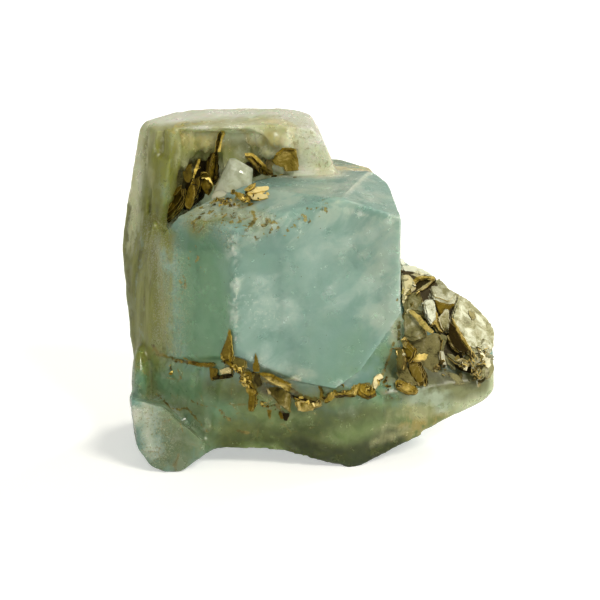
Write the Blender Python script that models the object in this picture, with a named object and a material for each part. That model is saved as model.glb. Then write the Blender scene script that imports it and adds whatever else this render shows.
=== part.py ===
"""An aquamarine specimen: crystals grown together into one body, with mica and a quartz grain on it.

Sizes are in millimetres and become metres through MM. X runs to the right across the specimen,
Y from its front to its back, and Z up from the face that it stands on.
"""

import bmesh
import bpy
from mathutils import Matrix, Vector

MM = 0.001
SEAT_GAP = 0.3      # clearance between two minerals that touch
STAND_Z = 0.0       # the specimen is ground flat here

# Each crystal is a block between two corners, cut by its flat faces.
# A face is a point on it and the way it looks.
MAIN_CRYSTAL = {
    "corners": ((-32, -20, 8), (17, 0.8, 52)),
    "faces": {
        "end face": ((0, -18, 33), (0, -1, 0.05)),
        "left prism face": ((-12.4, -18, 35), (-0.607, -0.795, 0.03)),
        "left flank": ((-25.4, -8.1, 35), (-0.85, -0.52, 0)),
        "worn shoulder": ((-12.4, -18, 43.8), (-0.283, -0.397, 0.873)),
        "top prism face": ((4.9, -18, 49.5), (-0.03, 0, 1)),
        "corner facet": ((4.9, -18, 49.5), (0.307, -0.097, 0.947)),
        "right prism face": ((15.5, -18, 40), (0.99, 0.12, 0)),
        "rear corner": ((13.3, -1.5, 48), (0.77, 0.64, 0)),
        "upper left face": ((-21.7, -10.9, 45.7), (-0.486, 0.59, 0.645)),
        "lower right face": ((15.9, -18, 30), (0.832, 0, -0.555)),
        "lower right corner": ((10.5, -18, 20.6), (0.6, -0.1, -0.79)),
        "lower left face": ((6.3, -18, 15.4), (-0.2, -0.38, -0.9)),
        "lower left corner": ((-12.4, -18, 21.6), (-0.3, -0.66, -0.69)),
    },
}
LOWER_MASS = {
    "corners": ((-24, -18, -4), (13, 9.5, 23)),
    "faces": {
        "front": ((-4, -14.7, 4), (-0.06, -0.99, -0.11)),
        "front left": ((-12.0, -17.3, 26), (-0.607, -0.795, 0.03)),
        "front right": ((8, -14.7, 8), (0.33, -0.944, -0.05)),
        "under main crystal": ((6.3, -18, 16.5), (0.2, 0.38, 0.9)),
        "right underside": ((6.3, -13.6, 0), (0.36, -0.06, -0.93)),
        "right": ((12, -6, 10), (0.9, 0.2, 0.38)),
        "back": ((0, 9, 6), (0.12, 0.97, -0.16)),
    },
}
FOOT_CRYSTAL = {
    "corners": ((-32, -18, -4), (-16, 0, 17)),
    "faces": {
        "front": ((-24, -17.2, 6), (0.05, -0.99, 0.02)),
        "outer side": ((-30.4, -15, 8), (-0.985, -0.12, -0.1)),
        "inner side": ((-18.0, -16, 6), (0.96, -0.25, 0.08)),
        "top": ((-22, -17.2, 11.3), (0.25, 0.28, 0.93)),
        "outer top": ((-26.3, -17.2, 13.1), (0.67, 0.2, 0.72)),
        "outer toe": ((-28.8, -16, 2.6), (-0.8, -0.2, -0.56)),
        "outer sole": ((-27.0, -16, 0.7), (-0.45, -0.2, -0.87)),
        "inner toe": ((-19.8, -16, 1.8), (0.62, -0.15, -0.77)),
    },
}
RIGHT_WING = {
    "corners": ((-6, -16, -4), (34, 10, 32)),
    "faces": {
        "front": ((8, -14.3, 8), (0.33, -0.944, 0.02)),
        "front left": ((5, -13.9, 5), (-0.3, -0.95, 0.08)),
        "underside": ((6.3, -13.6, 0), (0.36, -0.06, -0.93)),
        "end": ((32.9, -6, 14), (0.99, 0.05, -0.03)),
        "end toe": ((31.6, -8, 10.6), (0.72, -0.25, -0.64)),
        "mica bed": ((20, -9, 13.9), (0.2, -0.66, 0.72)),
        "upper slope": ((24, 2, 25.2), (0.55, -0.05, 0.83)),
        "back": ((20, 6, 14), (0.28, 0.94, -0.18)),
        "end corner": ((30.5, 4, 14), (0.7, 0.7, 0.1)),
    },
}
BACK_CRYSTAL = {
    "corners": ((-34, -1, -4), (6, 14, 60)),
    "faces": {
        "upper left face": ((-29.8, 6, 56), (-0.986, 0, 0.165)),
        "lower left face": ((-31.5, 6, 22), (-0.985, 0.1, -0.12)),
        "left bevel": ((-26.4, -1, 56), (-0.85, -0.5, 0.14)),
        "lower left bevel": ((-25.9, -8.8, 30), (-0.84, -0.54, 0.02)),
        "top left": ((-20, 4, 57.6), (-0.05, -0.02, 1)),
        "top right": ((-8, 8, 58.6), (0.08, -0.05, 1)),
        "left corner": ((-28.9, 4, 56.9), (-0.72, 0, 0.69)),
        "right corner": ((1.0, 4, 56.9), (0.74, 0, 0.67)),
        "right face": ((2.1, 2, 55.5), (0.934, 0.1, 0.357)),
        "back": ((-14, 12.4, 40), (0.07, 1, 0.03)),
        "back right": ((-3, 11.6, 40), (0.58, 0.81, 0.03)),
        "back left": ((-25, 11.2, 40), (-0.62, 0.78, 0.06)),
        "back top": ((-14, 11.4, 58.2), (0.05, 0.55, 0.83)),
    },
}
LEFT_FLANK = {
    "corners": ((-34, -16, -4), (-18, 8, 47)),
    "faces": {
        "upper side": ((-33, 2, 35), (-0.98, 0, 0.2)),
        "lower side": ((-32.9, 2, 33), (-0.985, 0, -0.13)),
        "front face": ((-26.2, -1, 56), (-0.85, -0.5, 0.14)),
        "lower front face": ((-25.9, -8.8, 30), (-0.84, -0.54, 0.02)),
        "behind main crystal": ((-12.1, -17.4, 35), (-0.607, -0.795, 0.03)),
        "back bevel": ((-31.5, 6, 30), (-0.75, 0.66, 0)),
    },
}
REAR_SHOULDER = {
    "corners": ((-4, -2, -4), (14, 12, 53)),
    "faces": {
        "top": ((4.6, 6, 49.2), (0.1, 0.05, 0.99)),
        "right": ((12.2, 2, 40), (0.94, 0.3, 0)),
        "right top corner": ((11, 5, 48.4), (0.7, 0.2, 0.69)),
        "back": ((4, 9.6, 30), (0.22, 0.97, -0.06)),
        "back right": ((9, 7.6, 30), (0.66, 0.75, 0)),
    },
}
REAR_COLUMN = {
    "corners": ((-17, 4, -4), (-2, 14.2, 42)),
    "faces": {
        "left": ((-13.5, 12.5, 20), (-0.86, 0.5, 0.03)),
        "right": ((-4.5, 12.5, 20), (0.88, 0.47, 0.02)),
        "end": ((-9, 13, 38), (0.12, 0.35, 0.93)),
        "end corner": ((-12, 13, 37.4), (-0.6, 0.35, 0.72)),
    },
}
REAR_CRYSTAL = {
    "corners": ((-22, 4, -4), (4, 16, 24)),
    "faces": {
        "left": ((-18.5, 12, 6), (-0.9, 0.4, 0.15)),
        "right": ((-1, 12, 6), (0.93, 0.33, 0.15)),
        "back": ((-10, 15, 4), (-0.1, 0.99, 0.09)),
        "back left": ((-16, 14, 6), (-0.55, 0.82, 0.12)),
        "end": ((-9, 13, 20), (0.18, 0.42, 0.89)),
        "end corner": ((-14, 12, 19), (-0.5, 0.3, 0.81)),
    },
}

# A hollow is a block cut in the same way as a crystal.
GROWTH_HOLLOW = {
    "corners": ((-30, -20, 36), (-2, 5.5, 57.4)),
    "faces": {
        "ribbed left wall": ((-27.4, -1, 50), (-0.55, 0.82, 0.11)),
        "right wall": ((-3.4, -1, 50), (0.8, 0.6, 0.1)),
        "roof": ((-14, 0, 57.0), (0, 0.5, 0.87)),
        "roof right": ((-6, -1, 55.2), (0.45, 0.3, 0.84)),
        "floor": ((-26.1, -5, 40.8), (-0.66, -0.1, -0.74)),
    },
}
FOOT_ARCH = {
    "corners": ((-21, -20, -6), (6, -2, 3.3)),
    "faces": {
        "left slope": ((-17.5, -14, 2.4), (-0.5, 0, 0.86)),
        "right slope": ((0, -14, 2), (0.28, 0, 0.96)),
        "back slope": ((-6, -5, 2), (0, 0.7, 0.7)),
    },
}
# The crystals at the back grew first and left a hollow, which the main crystal then closed at the front.
GROWTH_ORDER = (
    ("UNION", BACK_CRYSTAL),
    ("UNION", LEFT_FLANK),
    ("UNION", REAR_SHOULDER),
    ("DIFFERENCE", GROWTH_HOLLOW),
    ("UNION", MAIN_CRYSTAL),
    ("UNION", LOWER_MASS),
    ("UNION", FOOT_CRYSTAL),
    ("UNION", RIGHT_WING),
    ("UNION", REAR_COLUMN),
    ("UNION", REAR_CRYSTAL),
    ("DIFFERENCE", FOOT_ARCH),
)


QUARTZ_GRAIN = {
    "corners": ((-15, -7.6, 45), (-9.7, -2.2, 53.2)),
    "faces": {
        "left": ((-14.6, -6, 50), (-0.9, -0.35, 0.25)),
        "upper left": ((-13.6, -5.5, 52.4), (-0.75, -0.2, 0.63)),
        "front": ((-12, -6.9, 50.5), (0.1, -0.9, 0.42)),
        "front left": ((-13.9, -6.4, 50), (-0.55, -0.8, 0.25)),
        "peak": ((-12.2, -5, 53), (0.35, 0.3, 0.89)),
        "right": ((-10.2, -6, 50.6), (0.9, -0.25, 0.35)),
        "back": ((-12, -2.8, 50), (0, 0.95, 0.3)),
    },
}

# The mica books by name. Each has its thickness, the Y of the middle of its front face, the way that face
# looks, and the face's outline as (X, Z) corners seen from the front.
MICA_FAN = {
    "matrix": (2, -3.2, (0.2, -0.66, 0.72), (
        (16.7, 27.9), (22.7, 27.8), (25.9, 24.1), (29.2, 21.3), (32.2, 18.5), (32.2, 14.9), (29.8, 14),
        (25.5, 14.3), (19.3, 14.1), (16.5, 15.2),
    )),
    "right plate": (2.6, -1, (0.42, -0.5, 0.76), (
        (25.8, 25.5), (26.8, 26.1), (29.3, 24.7), (31.6, 22.8), (33, 20.9), (32.7, 19.3), (31, 18.3),
        (28.8, 18.7), (25.2, 23.1),
    )),
    "upper plate": (1.8, 2.7, (0.12, -0.42, 0.9), (
        (21.8, 25.9), (20.4, 26.6), (21, 27.7), (23, 28.3), (24.6, 27.5), (26.3, 26.4), (25.8, 25.4),
        (24.6, 25.1),
    )),
    "dark lens": (1.6, 3.3, (-0.25, -0.8, 0.55), (
        (18.2, 28), (19.8, 29.1), (22.5, 29.1), (20.9, 27.8), (19.5, 26.8),
    )),
    "silvery rim": (2, 5.7, (0.15, -0.6, 0.78), (
        (16.5, 28.9), (16.6, 30.3), (17.6, 30.6), (19.6, 30), (22.5, 28.6), (19.8, 28.5),
    )),
    "left slab": (1.8, -2.3, (0.3, -0.85, 0.42), (
        (20.1, 25.9), (21.7, 26.5), (23.2, 23.1), (23.6, 21.1), (22.6, 21.4), (21.3, 22.7),
    )),
    "middle slab": (1.8, -2.2, (0.4, -0.8, 0.45), (
        (23.2, 23.2), (24.6, 24.8), (25.3, 22.5), (25.6, 20.7), (24, 20.8),
    )),
    "face-on plate": (2.2, -6, (-0.08, -0.93, 0.36), (
        (16.3, 24.7), (17.7, 25.3), (19.5, 24), (21.8, 21.7), (22.8, 21.1), (22.9, 16.7), (22.2, 15),
        (19.4, 14.3), (17.1, 15.9), (16.3, 19.8),
    )),
    "plate behind it": (1.8, 0.1, (-0.2, -0.76, 0.61), (
        (16.4, 27.1), (18.5, 27.2), (20.3, 25), (20.5, 23), (18, 23.2), (16.5, 23.1),
    )),
    "brown books": (2, -10.4, (-0.45, -0.8, 0.4), (
        (15.3, 19.6), (16.4, 20.4), (18.4, 17.8), (20, 15.3), (18.9, 14.4), (16.7, 14.9), (16.2, 17.3),
    )),
    "gold plate": (1.2, -9.2, (0.1, -0.6, 0.8), (
        (18.4, 18.1), (18.9, 18.9), (20.7, 18.8), (20.4, 18.3),
    )),
    "amber foot": (1.8, -11.7, (-0.1, -0.8, 0.6), (
        (14.9, 14.3), (15.8, 14.6), (19.7, 13.7), (19.5, 13.2), (17.4, 12.9), (15.2, 13.5),
    )),
    "long lath": (1.4, -4.2, (0.56, -0.66, 0.51), (
        (24.4, 20.9), (25.3, 20.5), (27.6, 17.5), (26.6, 17.8),
    )),
    "short lath": (1.2, -6.9, (0.51, -0.81, 0.3), (
        (22.9, 18.9), (23.7, 18.5), (24.1, 15.9), (23.2, 16.5),
    )),
    "cross lath": (1.2, -6.6, (0.2, -0.5, 0.84), (
        (24.3, 18.1), (25.1, 17.9), (28.1, 16.6), (27.4, 16.3), (25.1, 17.4),
    )),
    "upper flake": (1.2, -5.9, (0.21, -0.52, 0.83), (
        (28.4, 17.2), (30.1, 17.2), (30.4, 16.7), (28.8, 16.5),
    )),
    "end flake": (1.6, -6.1, (0.42, -0.74, 0.53), (
        (29.8, 17), (32, 17.1), (32.7, 15.8), (31.2, 15.2), (29.9, 15.3),
    )),
    "lower flake": (1.6, -8.1, (0.1, -0.8, 0.6), (
        (27.4, 15.7), (29.8, 15.9), (30.9, 14.6), (30.2, 13.5), (28.1, 13.4), (26.9, 14.6),
    )),
}
MICA_HOLLOW_LEFT = {
    "back books": (3.2, 1.9, (-0.1, -0.95, 0.3), (
        (-22.1, 49), (-19.5, 49.7), (-17.4, 49.8), (-17.5, 45.1), (-19.5, 43.7), (-23, 42.6),
        (-23.7, 44.6),
    )),
    "standing blade": (1, 4.3, (0.76, -0.61, 0.2), (
        (-15.7, 56.3), (-15.3, 56.3), (-14.7, 54.8), (-15.6, 52.1), (-16.1, 47.8), (-16.6, 47.9),
    )),
    "dark blade": (1.6, 3.6, (0.7, -0.7, 0.15), (
        (-17.2, 51.4), (-15.8, 51.7), (-16.2, 47.7), (-17.4, 47.6), (-17.7, 49.1),
    )),
    "edge blade": (1.2, 1, (0.76, -0.6, 0.25), (
        (-19.7, 50.7), (-19.1, 51.2), (-19, 50.3), (-19.9, 48.3), (-20.5, 48.2),
    )),
    "lens books": (2.6, 0.1, (-0.3, -0.9, 0.3), (
        (-20.8, 47.7), (-19.9, 48.2), (-19.2, 46.2), (-20.3, 43.1), (-21.3, 42.8), (-21.9, 44),
        (-21.5, 45.7),
    )),
    "curved plate": (2, 1.8, (-0.2, -0.9, 0.4), (
        (-19.1, 47.2), (-18.1, 47.9), (-16.9, 46.8), (-17.4, 45.8), (-18.4, 45.6),
    )),
    "long book": (2.6, 0, (-0.5, -0.74, 0.45), (
        (-25.8, 41.1), (-25.7, 42.3), (-23.3, 45.2), (-21.9, 46.4), (-21.3, 44.9), (-22.9, 42.8),
        (-25.2, 40.7),
    )),
}
MICA_HOLLOW_RIGHT = {
    "curved blade": (1.6, 0.6, (0.35, -0.8, 0.5), (
        (-11.2, 52.7), (-9.8, 52.4), (-6.1, 49.2), (-6.8, 48.8), (-9.1, 50.1),
    )),
    "dark side": (3.4, 1.4, (0.1, -0.95, 0.3), (
        (-11.4, 50.3), (-10.7, 51.3), (-8.9, 49.6), (-6.8, 48.5), (-9.8, 48.4),
    )),
    "brown plate": (2.2, -2.1, (0.1, -0.97, 0.2), (
        (-6.1, 51.3), (-4.2, 54.2), (-2.3, 53.9), (-1.8, 50.4), (-4, 50.1), (-5.8, 50.7),
    )),
    "root": (3.4, -1.2, (0.1, -0.91, 0.4), (
        (-8.2, 50.8), (-5.1, 51.1), (-3.3, 49.9), (-6.8, 49.3),
    )),
}
MICA_LEDGE = {
    "tilted flake": (1.4, -10.4, (0.1, -0.5, 0.86), (
        (-12.8, 48.8), (-10.5, 49), (-6.9, 49.4), (-7.1, 48.6), (-10.1, 48.4), (-12.1, 48.3),
    )),
    "second flake": (1.4, -12, (-0.1, -0.56, 0.82), (
        (-12.1, 48.6), (-9.4, 48.7), (-7.2, 48.6), (-7.7, 47.6), (-10.1, 47.6),
    )),
    "third flake": (1.4, -10.7, (-0.41, -0.51, 0.76), (
        (-11.7, 48.7), (-10.1, 49.8), (-9.3, 49.2), (-10.1, 47.7), (-11.5, 48),
    )),
}
MICA_SEAM_LEFT = {
    "clump": (3.6, -18.5, (-0.2, -0.97, 0.15), (
        (-13.6, 20.6), (-12.2, 19.6), (-10.1, 19.4), (-9.1, 19.8), (-8.3, 18.2), (-8.8, 16.4),
        (-10.2, 16), (-12, 16.9), (-13.2, 18.5),
    )),
    "tapered wedge": (2.4, -17.7, (-0.6, -0.8, 0.05), (
        (-15.7, 20.5), (-15.5, 22.6), (-13.6, 26.6), (-13.3, 23.7), (-13.2, 20.4), (-14.6, 19.8),
    )),
    "left strip": (1.8, -13.6, (-0.51, -0.76, 0.41), (
        (-21.4, 18.6), (-20.7, 19), (-16.4, 19.5), (-16.4, 18.7), (-18.5, 18.5),
    )),
    "pale grain": (2.4, -15.8, (-0.5, -0.8, 0.35), (
        (-17.6, 18.8), (-17.1, 19.7), (-15, 20.2), (-13.2, 19.6), (-13.4, 18), (-16.4, 16.8),
        (-17.5, 17.5),
    )),
    "spike": (1.6, -19, (-0.1, -0.99, 0.05), (
        (-10, 18.2), (-9.4, 22.6), (-8.5, 18.2),
    )),
    "blade": (2.4, -18.9, (-0.1, -0.96, 0.26), (
        (-9.1, 19), (-7.8, 18.9), (-5, 18.2), (-3.2, 17.2), (-5.4, 17.2), (-8.8, 17.9),
    )),
    "hanging blade": (2.6, -17.4, (-0.3, -0.95, 0.1), (
        (-10.4, 16), (-9.4, 16.1), (-9.4, 12.2), (-10.2, 11), (-10.5, 13.5),
    )),
    "dark fill": (2.6, -16.5, (-0.1, -0.91, 0.4), (
        (-9, 17.1), (-5, 16.4), (-3.3, 14.9), (-4, 13.9), (-6.8, 15.3), (-9, 15.2),
    )),
}
MICA_SEAM_RIGHT = {
    "pale clump": (2.6, -17, (-0.1, -0.91, 0.4), (
        (-2.5, 12.6), (-1.6, 13.5), (1.4, 13.5), (2.5, 13.8), (2.6, 12.8), (0.7, 12), (-2.1, 11.7),
    )),
    "fine spike": (1.2, -16.9, (-0.1, -0.97, 0.2), (
        (0.9, 17.4), (1.3, 16.8), (2.6, 14.2), (1.9, 13.4),
    )),
    "seam strip": (2.4, -16.9, (0.05, -0.91, 0.41), (
        (2, 14), (4, 15), (8.2, 15.6), (9, 14.7), (4.2, 14.2), (2.5, 13.1),
    )),
    "white clump": (3.4, -15.9, (0.2, -0.9, 0.4), (
        (8.2, 15.3), (9, 16.2), (10.9, 16.6), (12.6, 16.9), (11.7, 14.6), (11.1, 13.6), (9.8, 14),
        (8.2, 14.6),
    )),
}


def clear_scene():
    for old in list(bpy.data.objects):
        bpy.data.objects.remove(old, do_unlink=True)


def new_object(name, mesh):
    made = bpy.data.objects.new(name, mesh)
    bpy.context.scene.collection.objects.link(made)
    return made


def cut_block(name, shape, grow=0.0):
    """A block cut by flat faces. grow moves every face out by that much, or in where it is negative."""
    low, high = (Vector(corner) for corner in shape["corners"])
    margin = Vector((grow, grow, grow))
    low, high = low - margin, high + margin
    bm = bmesh.new()
    bmesh.ops.create_cube(bm, size=1.0)
    bmesh.ops.scale(bm, vec=high - low, verts=bm.verts)
    bmesh.ops.translate(bm, vec=(low + high) / 2, verts=bm.verts)
    for point, looks in shape["faces"].values():
        outward = Vector(looks).normalized()
        everything = bm.verts[:] + bm.edges[:] + bm.faces[:]
        cut = bmesh.ops.bisect_plane(
            bm,
            geom=everything,
            plane_co=Vector(point) + outward * grow,
            plane_no=outward,
            clear_outer=True,
        )
        rim = [part for part in cut["geom_cut"] if isinstance(part, bmesh.types.BMEdge)]
        bmesh.ops.contextual_create(bm, geom=rim)
    bmesh.ops.recalc_face_normals(bm, faces=bm.faces)
    bmesh.ops.scale(bm, vec=(MM, MM, MM), verts=bm.verts)
    mesh = bpy.data.meshes.new(name)
    bm.to_mesh(mesh)
    bm.free()
    return new_object(name, mesh)


def copy_of(source):
    return new_object(f"{source.name}_copy", source.data.copy())


def combine(base, other, operation):
    """Joins the other to the base or cuts it from the base, and removes it."""
    boolean = base.modifiers.new(operation.title(), "BOOLEAN")
    boolean.operation = operation
    boolean.solver = "EXACT"
    boolean.object = other
    bpy.context.view_layer.update()
    graph = bpy.context.evaluated_depsgraph_get()
    mesh = bpy.data.meshes.new_from_object(base.evaluated_get(graph))
    base.modifiers.clear()
    base.data = mesh
    bpy.data.objects.remove(other, do_unlink=True)


def grind_flat(body, height):
    """Cuts the body off below a level plane and closes the cut."""
    bm = bmesh.new()
    bm.from_mesh(body.data)
    cut = bmesh.ops.bisect_plane(
        bm,
        geom=bm.verts[:] + bm.edges[:] + bm.faces[:],
        plane_co=(0, 0, height),
        plane_no=(0, 0, -1),
        clear_outer=True,
    )
    rim = [part for part in cut["geom_cut"] if isinstance(part, bmesh.types.BMEdge)]
    bmesh.ops.triangle_fill(bm, edges=rim, normal=(0, 0, -1), use_beauty=True)
    bmesh.ops.recalc_face_normals(bm, faces=bm.faces)
    bm.to_mesh(body.data)
    bm.free()


def intergrown_crystals(name, grow=0.0):
    """All the crystals as one body. With grow it is the seat that the other minerals are cut back to."""
    body = cut_block(name, GROWTH_ORDER[0][1], grow)
    for operation, shape in GROWTH_ORDER[1:]:
        outward = grow if operation == "UNION" else -grow
        combine(body, cut_block(f"{name}_next", shape, outward), operation)
    return body


def mica_book(name, thickness, depth, looks, outline):
    """A book of mica leaves, from its front face's outline as (X, Z) corners and the Y of that face's middle."""
    outward = Vector(looks).normalized()
    middle_x = sum(x for x, z in outline) / len(outline)
    middle_z = sum(z for x, z in outline) / len(outline)
    bm = bmesh.new()
    corners = []
    for x, z in outline:
        lean = outward.x * (x - middle_x) + outward.z * (z - middle_z)
        corners.append(bm.verts.new((x, depth - lean / outward.y, z)))
    front = bm.faces.new(corners)
    grown = bmesh.ops.extrude_face_region(bm, geom=[front])
    moved = [part for part in grown["geom"] if isinstance(part, bmesh.types.BMVert)]
    bmesh.ops.translate(bm, vec=outward * -thickness, verts=moved)
    bmesh.ops.recalc_face_normals(bm, faces=bm.faces)
    bmesh.ops.scale(bm, vec=(MM, MM, MM), verts=bm.verts)
    mesh = bpy.data.meshes.new(name)
    bm.to_mesh(mesh)
    bm.free()
    return new_object(name, mesh)


def keep_largest(body):
    """Removes the crumbs that a cut left apart from the body."""
    bm = bmesh.new()
    bm.from_mesh(body.data)
    waiting = set(bm.verts)
    clusters = []
    while waiting:
        cluster = {waiting.pop()}
        edge_of = list(cluster)
        while edge_of:
            vert = edge_of.pop()
            near = {edge.other_vert(vert) for edge in vert.link_edges} & waiting
            waiting -= near
            cluster |= near
            edge_of += near
        clusters.append(cluster)
    clusters.sort(key=len)
    crumbs = [vert for cluster in clusters[:-1] for vert in cluster]
    bmesh.ops.delete(bm, geom=crumbs, context="VERTS")
    bm.to_mesh(body.data)
    bm.free()


def mica_cluster(name, books, seat, neighbour):
    """Books grown through each other into one body, cut back to the seat and to the neighbour."""
    blocks = [mica_book(f"{name}_{place}", *book) for place, book in enumerate(books.values())]
    body = blocks[0]
    for block in blocks[1:]:
        combine(body, block, "UNION")
    combine(body, copy_of(seat), "DIFFERENCE")
    combine(body, copy_of(neighbour), "DIFFERENCE")
    keep_largest(body)
    body.name = name
    return body


def stand_on_origin(bodies):
    """Shifts all bodies as one, so that the middle of their box lies over the origin."""
    corners = [vert.co for body in bodies for vert in body.data.vertices]
    middle = [(min(co[axis] for co in corners) + max(co[axis] for co in corners)) / 2 for axis in (0, 1)]
    floor = min(co[2] for co in corners)
    for body in bodies:
        body.data.transform(Matrix.Translation((-middle[0], -middle[1], -floor)))


def finish_material(name, colour, roughness, transmission=0.0):
    material = bpy.data.materials.new(name)
    material.use_nodes = True
    shader = material.node_tree.nodes["Principled BSDF"]
    shader.inputs["Base Color"].default_value = (*colour, 1.0)
    shader.inputs["Roughness"].default_value = roughness
    shader.inputs["Metallic"].default_value = 0.0
    shader.inputs["Transmission Weight"].default_value = transmission
    return material


def main():
    clear_scene()
    aquamarine = intergrown_crystals("aquamarine")
    grind_flat(aquamarine, STAND_Z)
    seat = intergrown_crystals("seat", SEAT_GAP)
    quartz = cut_block("quartz_grain", QUARTZ_GRAIN)
    combine(quartz, copy_of(seat), "DIFFERENCE")
    quartz_seat = cut_block("quartz_seat", QUARTZ_GRAIN, SEAT_GAP)
    minerals = {aquamarine: finish_material("aquamarine", (0.42, 0.6, 0.52), 0.25, 0.3)}
    minerals[quartz] = finish_material("quartz", (0.86, 0.87, 0.85), 0.12, 0.8)
    silvery = finish_material("silvery mica", (0.5, 0.45, 0.3), 0.35)
    brown = finish_material("brown mica", (0.22, 0.14, 0.04), 0.35)
    for name, (books, material) in {
        "mica_fan": (MICA_FAN, silvery),
        "mica_hollow_left": (MICA_HOLLOW_LEFT, brown),
        "mica_hollow_right": (MICA_HOLLOW_RIGHT, brown),
        "mica_ledge": (MICA_LEDGE, brown),
        "mica_seam_left": (MICA_SEAM_LEFT, brown),
        "mica_seam_right": (MICA_SEAM_RIGHT, brown),
    }.items():
        minerals[mica_cluster(name, books, seat, quartz_seat)] = material
    bpy.data.objects.remove(seat, do_unlink=True)
    bpy.data.objects.remove(quartz_seat, do_unlink=True)
    stand_on_origin(list(minerals))
    for body, material in minerals.items():
        body.data.materials.clear()
        body.data.materials.append(material)


main()
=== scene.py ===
"""The looks of an aquamarine specimen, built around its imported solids.

Lengths in the tables are millimetres and become metres through MM.
"""

import math
import random

import bmesh
import bpy
import numpy as np
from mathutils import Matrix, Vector
from mathutils.bvhtree import BVHTree


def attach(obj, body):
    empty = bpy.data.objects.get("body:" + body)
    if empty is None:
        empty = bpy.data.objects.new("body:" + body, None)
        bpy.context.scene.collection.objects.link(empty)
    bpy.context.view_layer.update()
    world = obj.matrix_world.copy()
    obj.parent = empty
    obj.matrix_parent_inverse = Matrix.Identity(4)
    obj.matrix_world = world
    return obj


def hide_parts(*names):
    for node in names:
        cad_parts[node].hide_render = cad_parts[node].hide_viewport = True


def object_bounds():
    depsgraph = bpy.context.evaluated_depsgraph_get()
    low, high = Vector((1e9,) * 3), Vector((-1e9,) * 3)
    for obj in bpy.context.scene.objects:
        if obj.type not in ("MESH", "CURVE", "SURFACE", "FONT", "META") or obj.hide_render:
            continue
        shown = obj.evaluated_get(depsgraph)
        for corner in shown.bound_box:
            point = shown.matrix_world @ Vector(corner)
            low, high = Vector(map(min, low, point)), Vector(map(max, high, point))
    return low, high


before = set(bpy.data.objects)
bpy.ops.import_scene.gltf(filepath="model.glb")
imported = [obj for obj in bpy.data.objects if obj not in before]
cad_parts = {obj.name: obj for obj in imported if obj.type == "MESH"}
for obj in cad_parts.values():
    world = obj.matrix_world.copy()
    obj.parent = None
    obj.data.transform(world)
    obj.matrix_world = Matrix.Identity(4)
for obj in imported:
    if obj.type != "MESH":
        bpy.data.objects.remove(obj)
cad_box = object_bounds()

# ---------------------------------------------------------------- camera and light
# A long lens a little above the table, as for a catalogue picture of a mineral. The specimen is lit by
# one broad soft lamp from the upper right, a second from behind it and a weak one from the left.
MM = 0.001
LENS_MM = 154
VIEW_TARGET = Vector((-1.4765, -2.2582, 27.3)) * MM
VIEW_DISTANCE = 0.45
VIEW_ELEVATION = math.radians(18)
LAMPS = {
    # where it hangs, how wide it is, its watts
    "key_lamp": ((0.62, -0.80, 0.95), 0.45, 13.2),
    "back_lamp": ((0.75, 0.65, 0.85), 0.50, 10.5),
    "left_fill": ((-0.95, -0.60, 0.35), 0.70, 1.0),
}

bpy.ops.object.select_all(action="DESELECT")
look_back = Vector((0, -math.cos(VIEW_ELEVATION), math.sin(VIEW_ELEVATION)))
bpy.ops.object.camera_add(
    location=VIEW_TARGET + look_back * VIEW_DISTANCE,
    rotation=(math.pi / 2 - VIEW_ELEVATION, 0, 0),
)
camera = bpy.context.object
camera.name = "view_camera"
camera.data.lens = LENS_MM
camera.data.clip_start = 0.01
bpy.context.scene.camera = camera
bpy.context.scene.view_settings.view_transform = "Standard"

for lamp_name, (place, width, watts) in LAMPS.items():
    aim = (VIEW_TARGET - Vector(place)).to_track_quat("-Z", "Y").to_euler()
    bpy.ops.object.light_add(type="AREA", location=place, rotation=aim)
    lamp = bpy.context.object
    lamp.name = lamp_name
    lamp.data.shape = "DISK"
    lamp.data.size = width
    lamp.data.energy = watts
    lamp.data.color = (1.0, 0.97, 0.86)

studio = bpy.data.worlds.new("studio")
studio.use_nodes = True
studio.node_tree.nodes["Background"].inputs["Color"].default_value = (1.0, 0.985, 0.86, 1.0)
studio.node_tree.nodes["Background"].inputs["Strength"].default_value = 0.4
bpy.context.scene.world = studio

# ---------------------------------------------------------------- table
# The plain pale table top that the specimen stands on.
bpy.ops.mesh.primitive_plane_add(size=6.0, location=(0, 0, 0))
table = bpy.context.object
table.name = "table_top"
table_finish = bpy.data.materials.new("pale_table")
table_finish.use_nodes = True
table_shader = table_finish.node_tree.nodes["Principled BSDF"]
table_shader.inputs["Base Color"].default_value = (0.75, 0.75, 0.75, 1.0)
table_shader.inputs["Roughness"].default_value = 0.9
table_shader.inputs["Emission Color"].default_value = (1.0, 1.0, 1.0, 1.0)
seen_direct = table_finish.node_tree.nodes.new("ShaderNodeLightPath")
lift = table_finish.node_tree.nodes.new("ShaderNodeMath")
lift.operation = "MULTIPLY"
lift.inputs[1].default_value = 0.45
table_finish.node_tree.links.new(seen_direct.outputs["Is Camera Ray"], lift.inputs[0])
table_finish.node_tree.links.new(lift.outputs[0], table_shader.inputs["Emission Strength"])
table.data.materials.append(table_finish)

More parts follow.
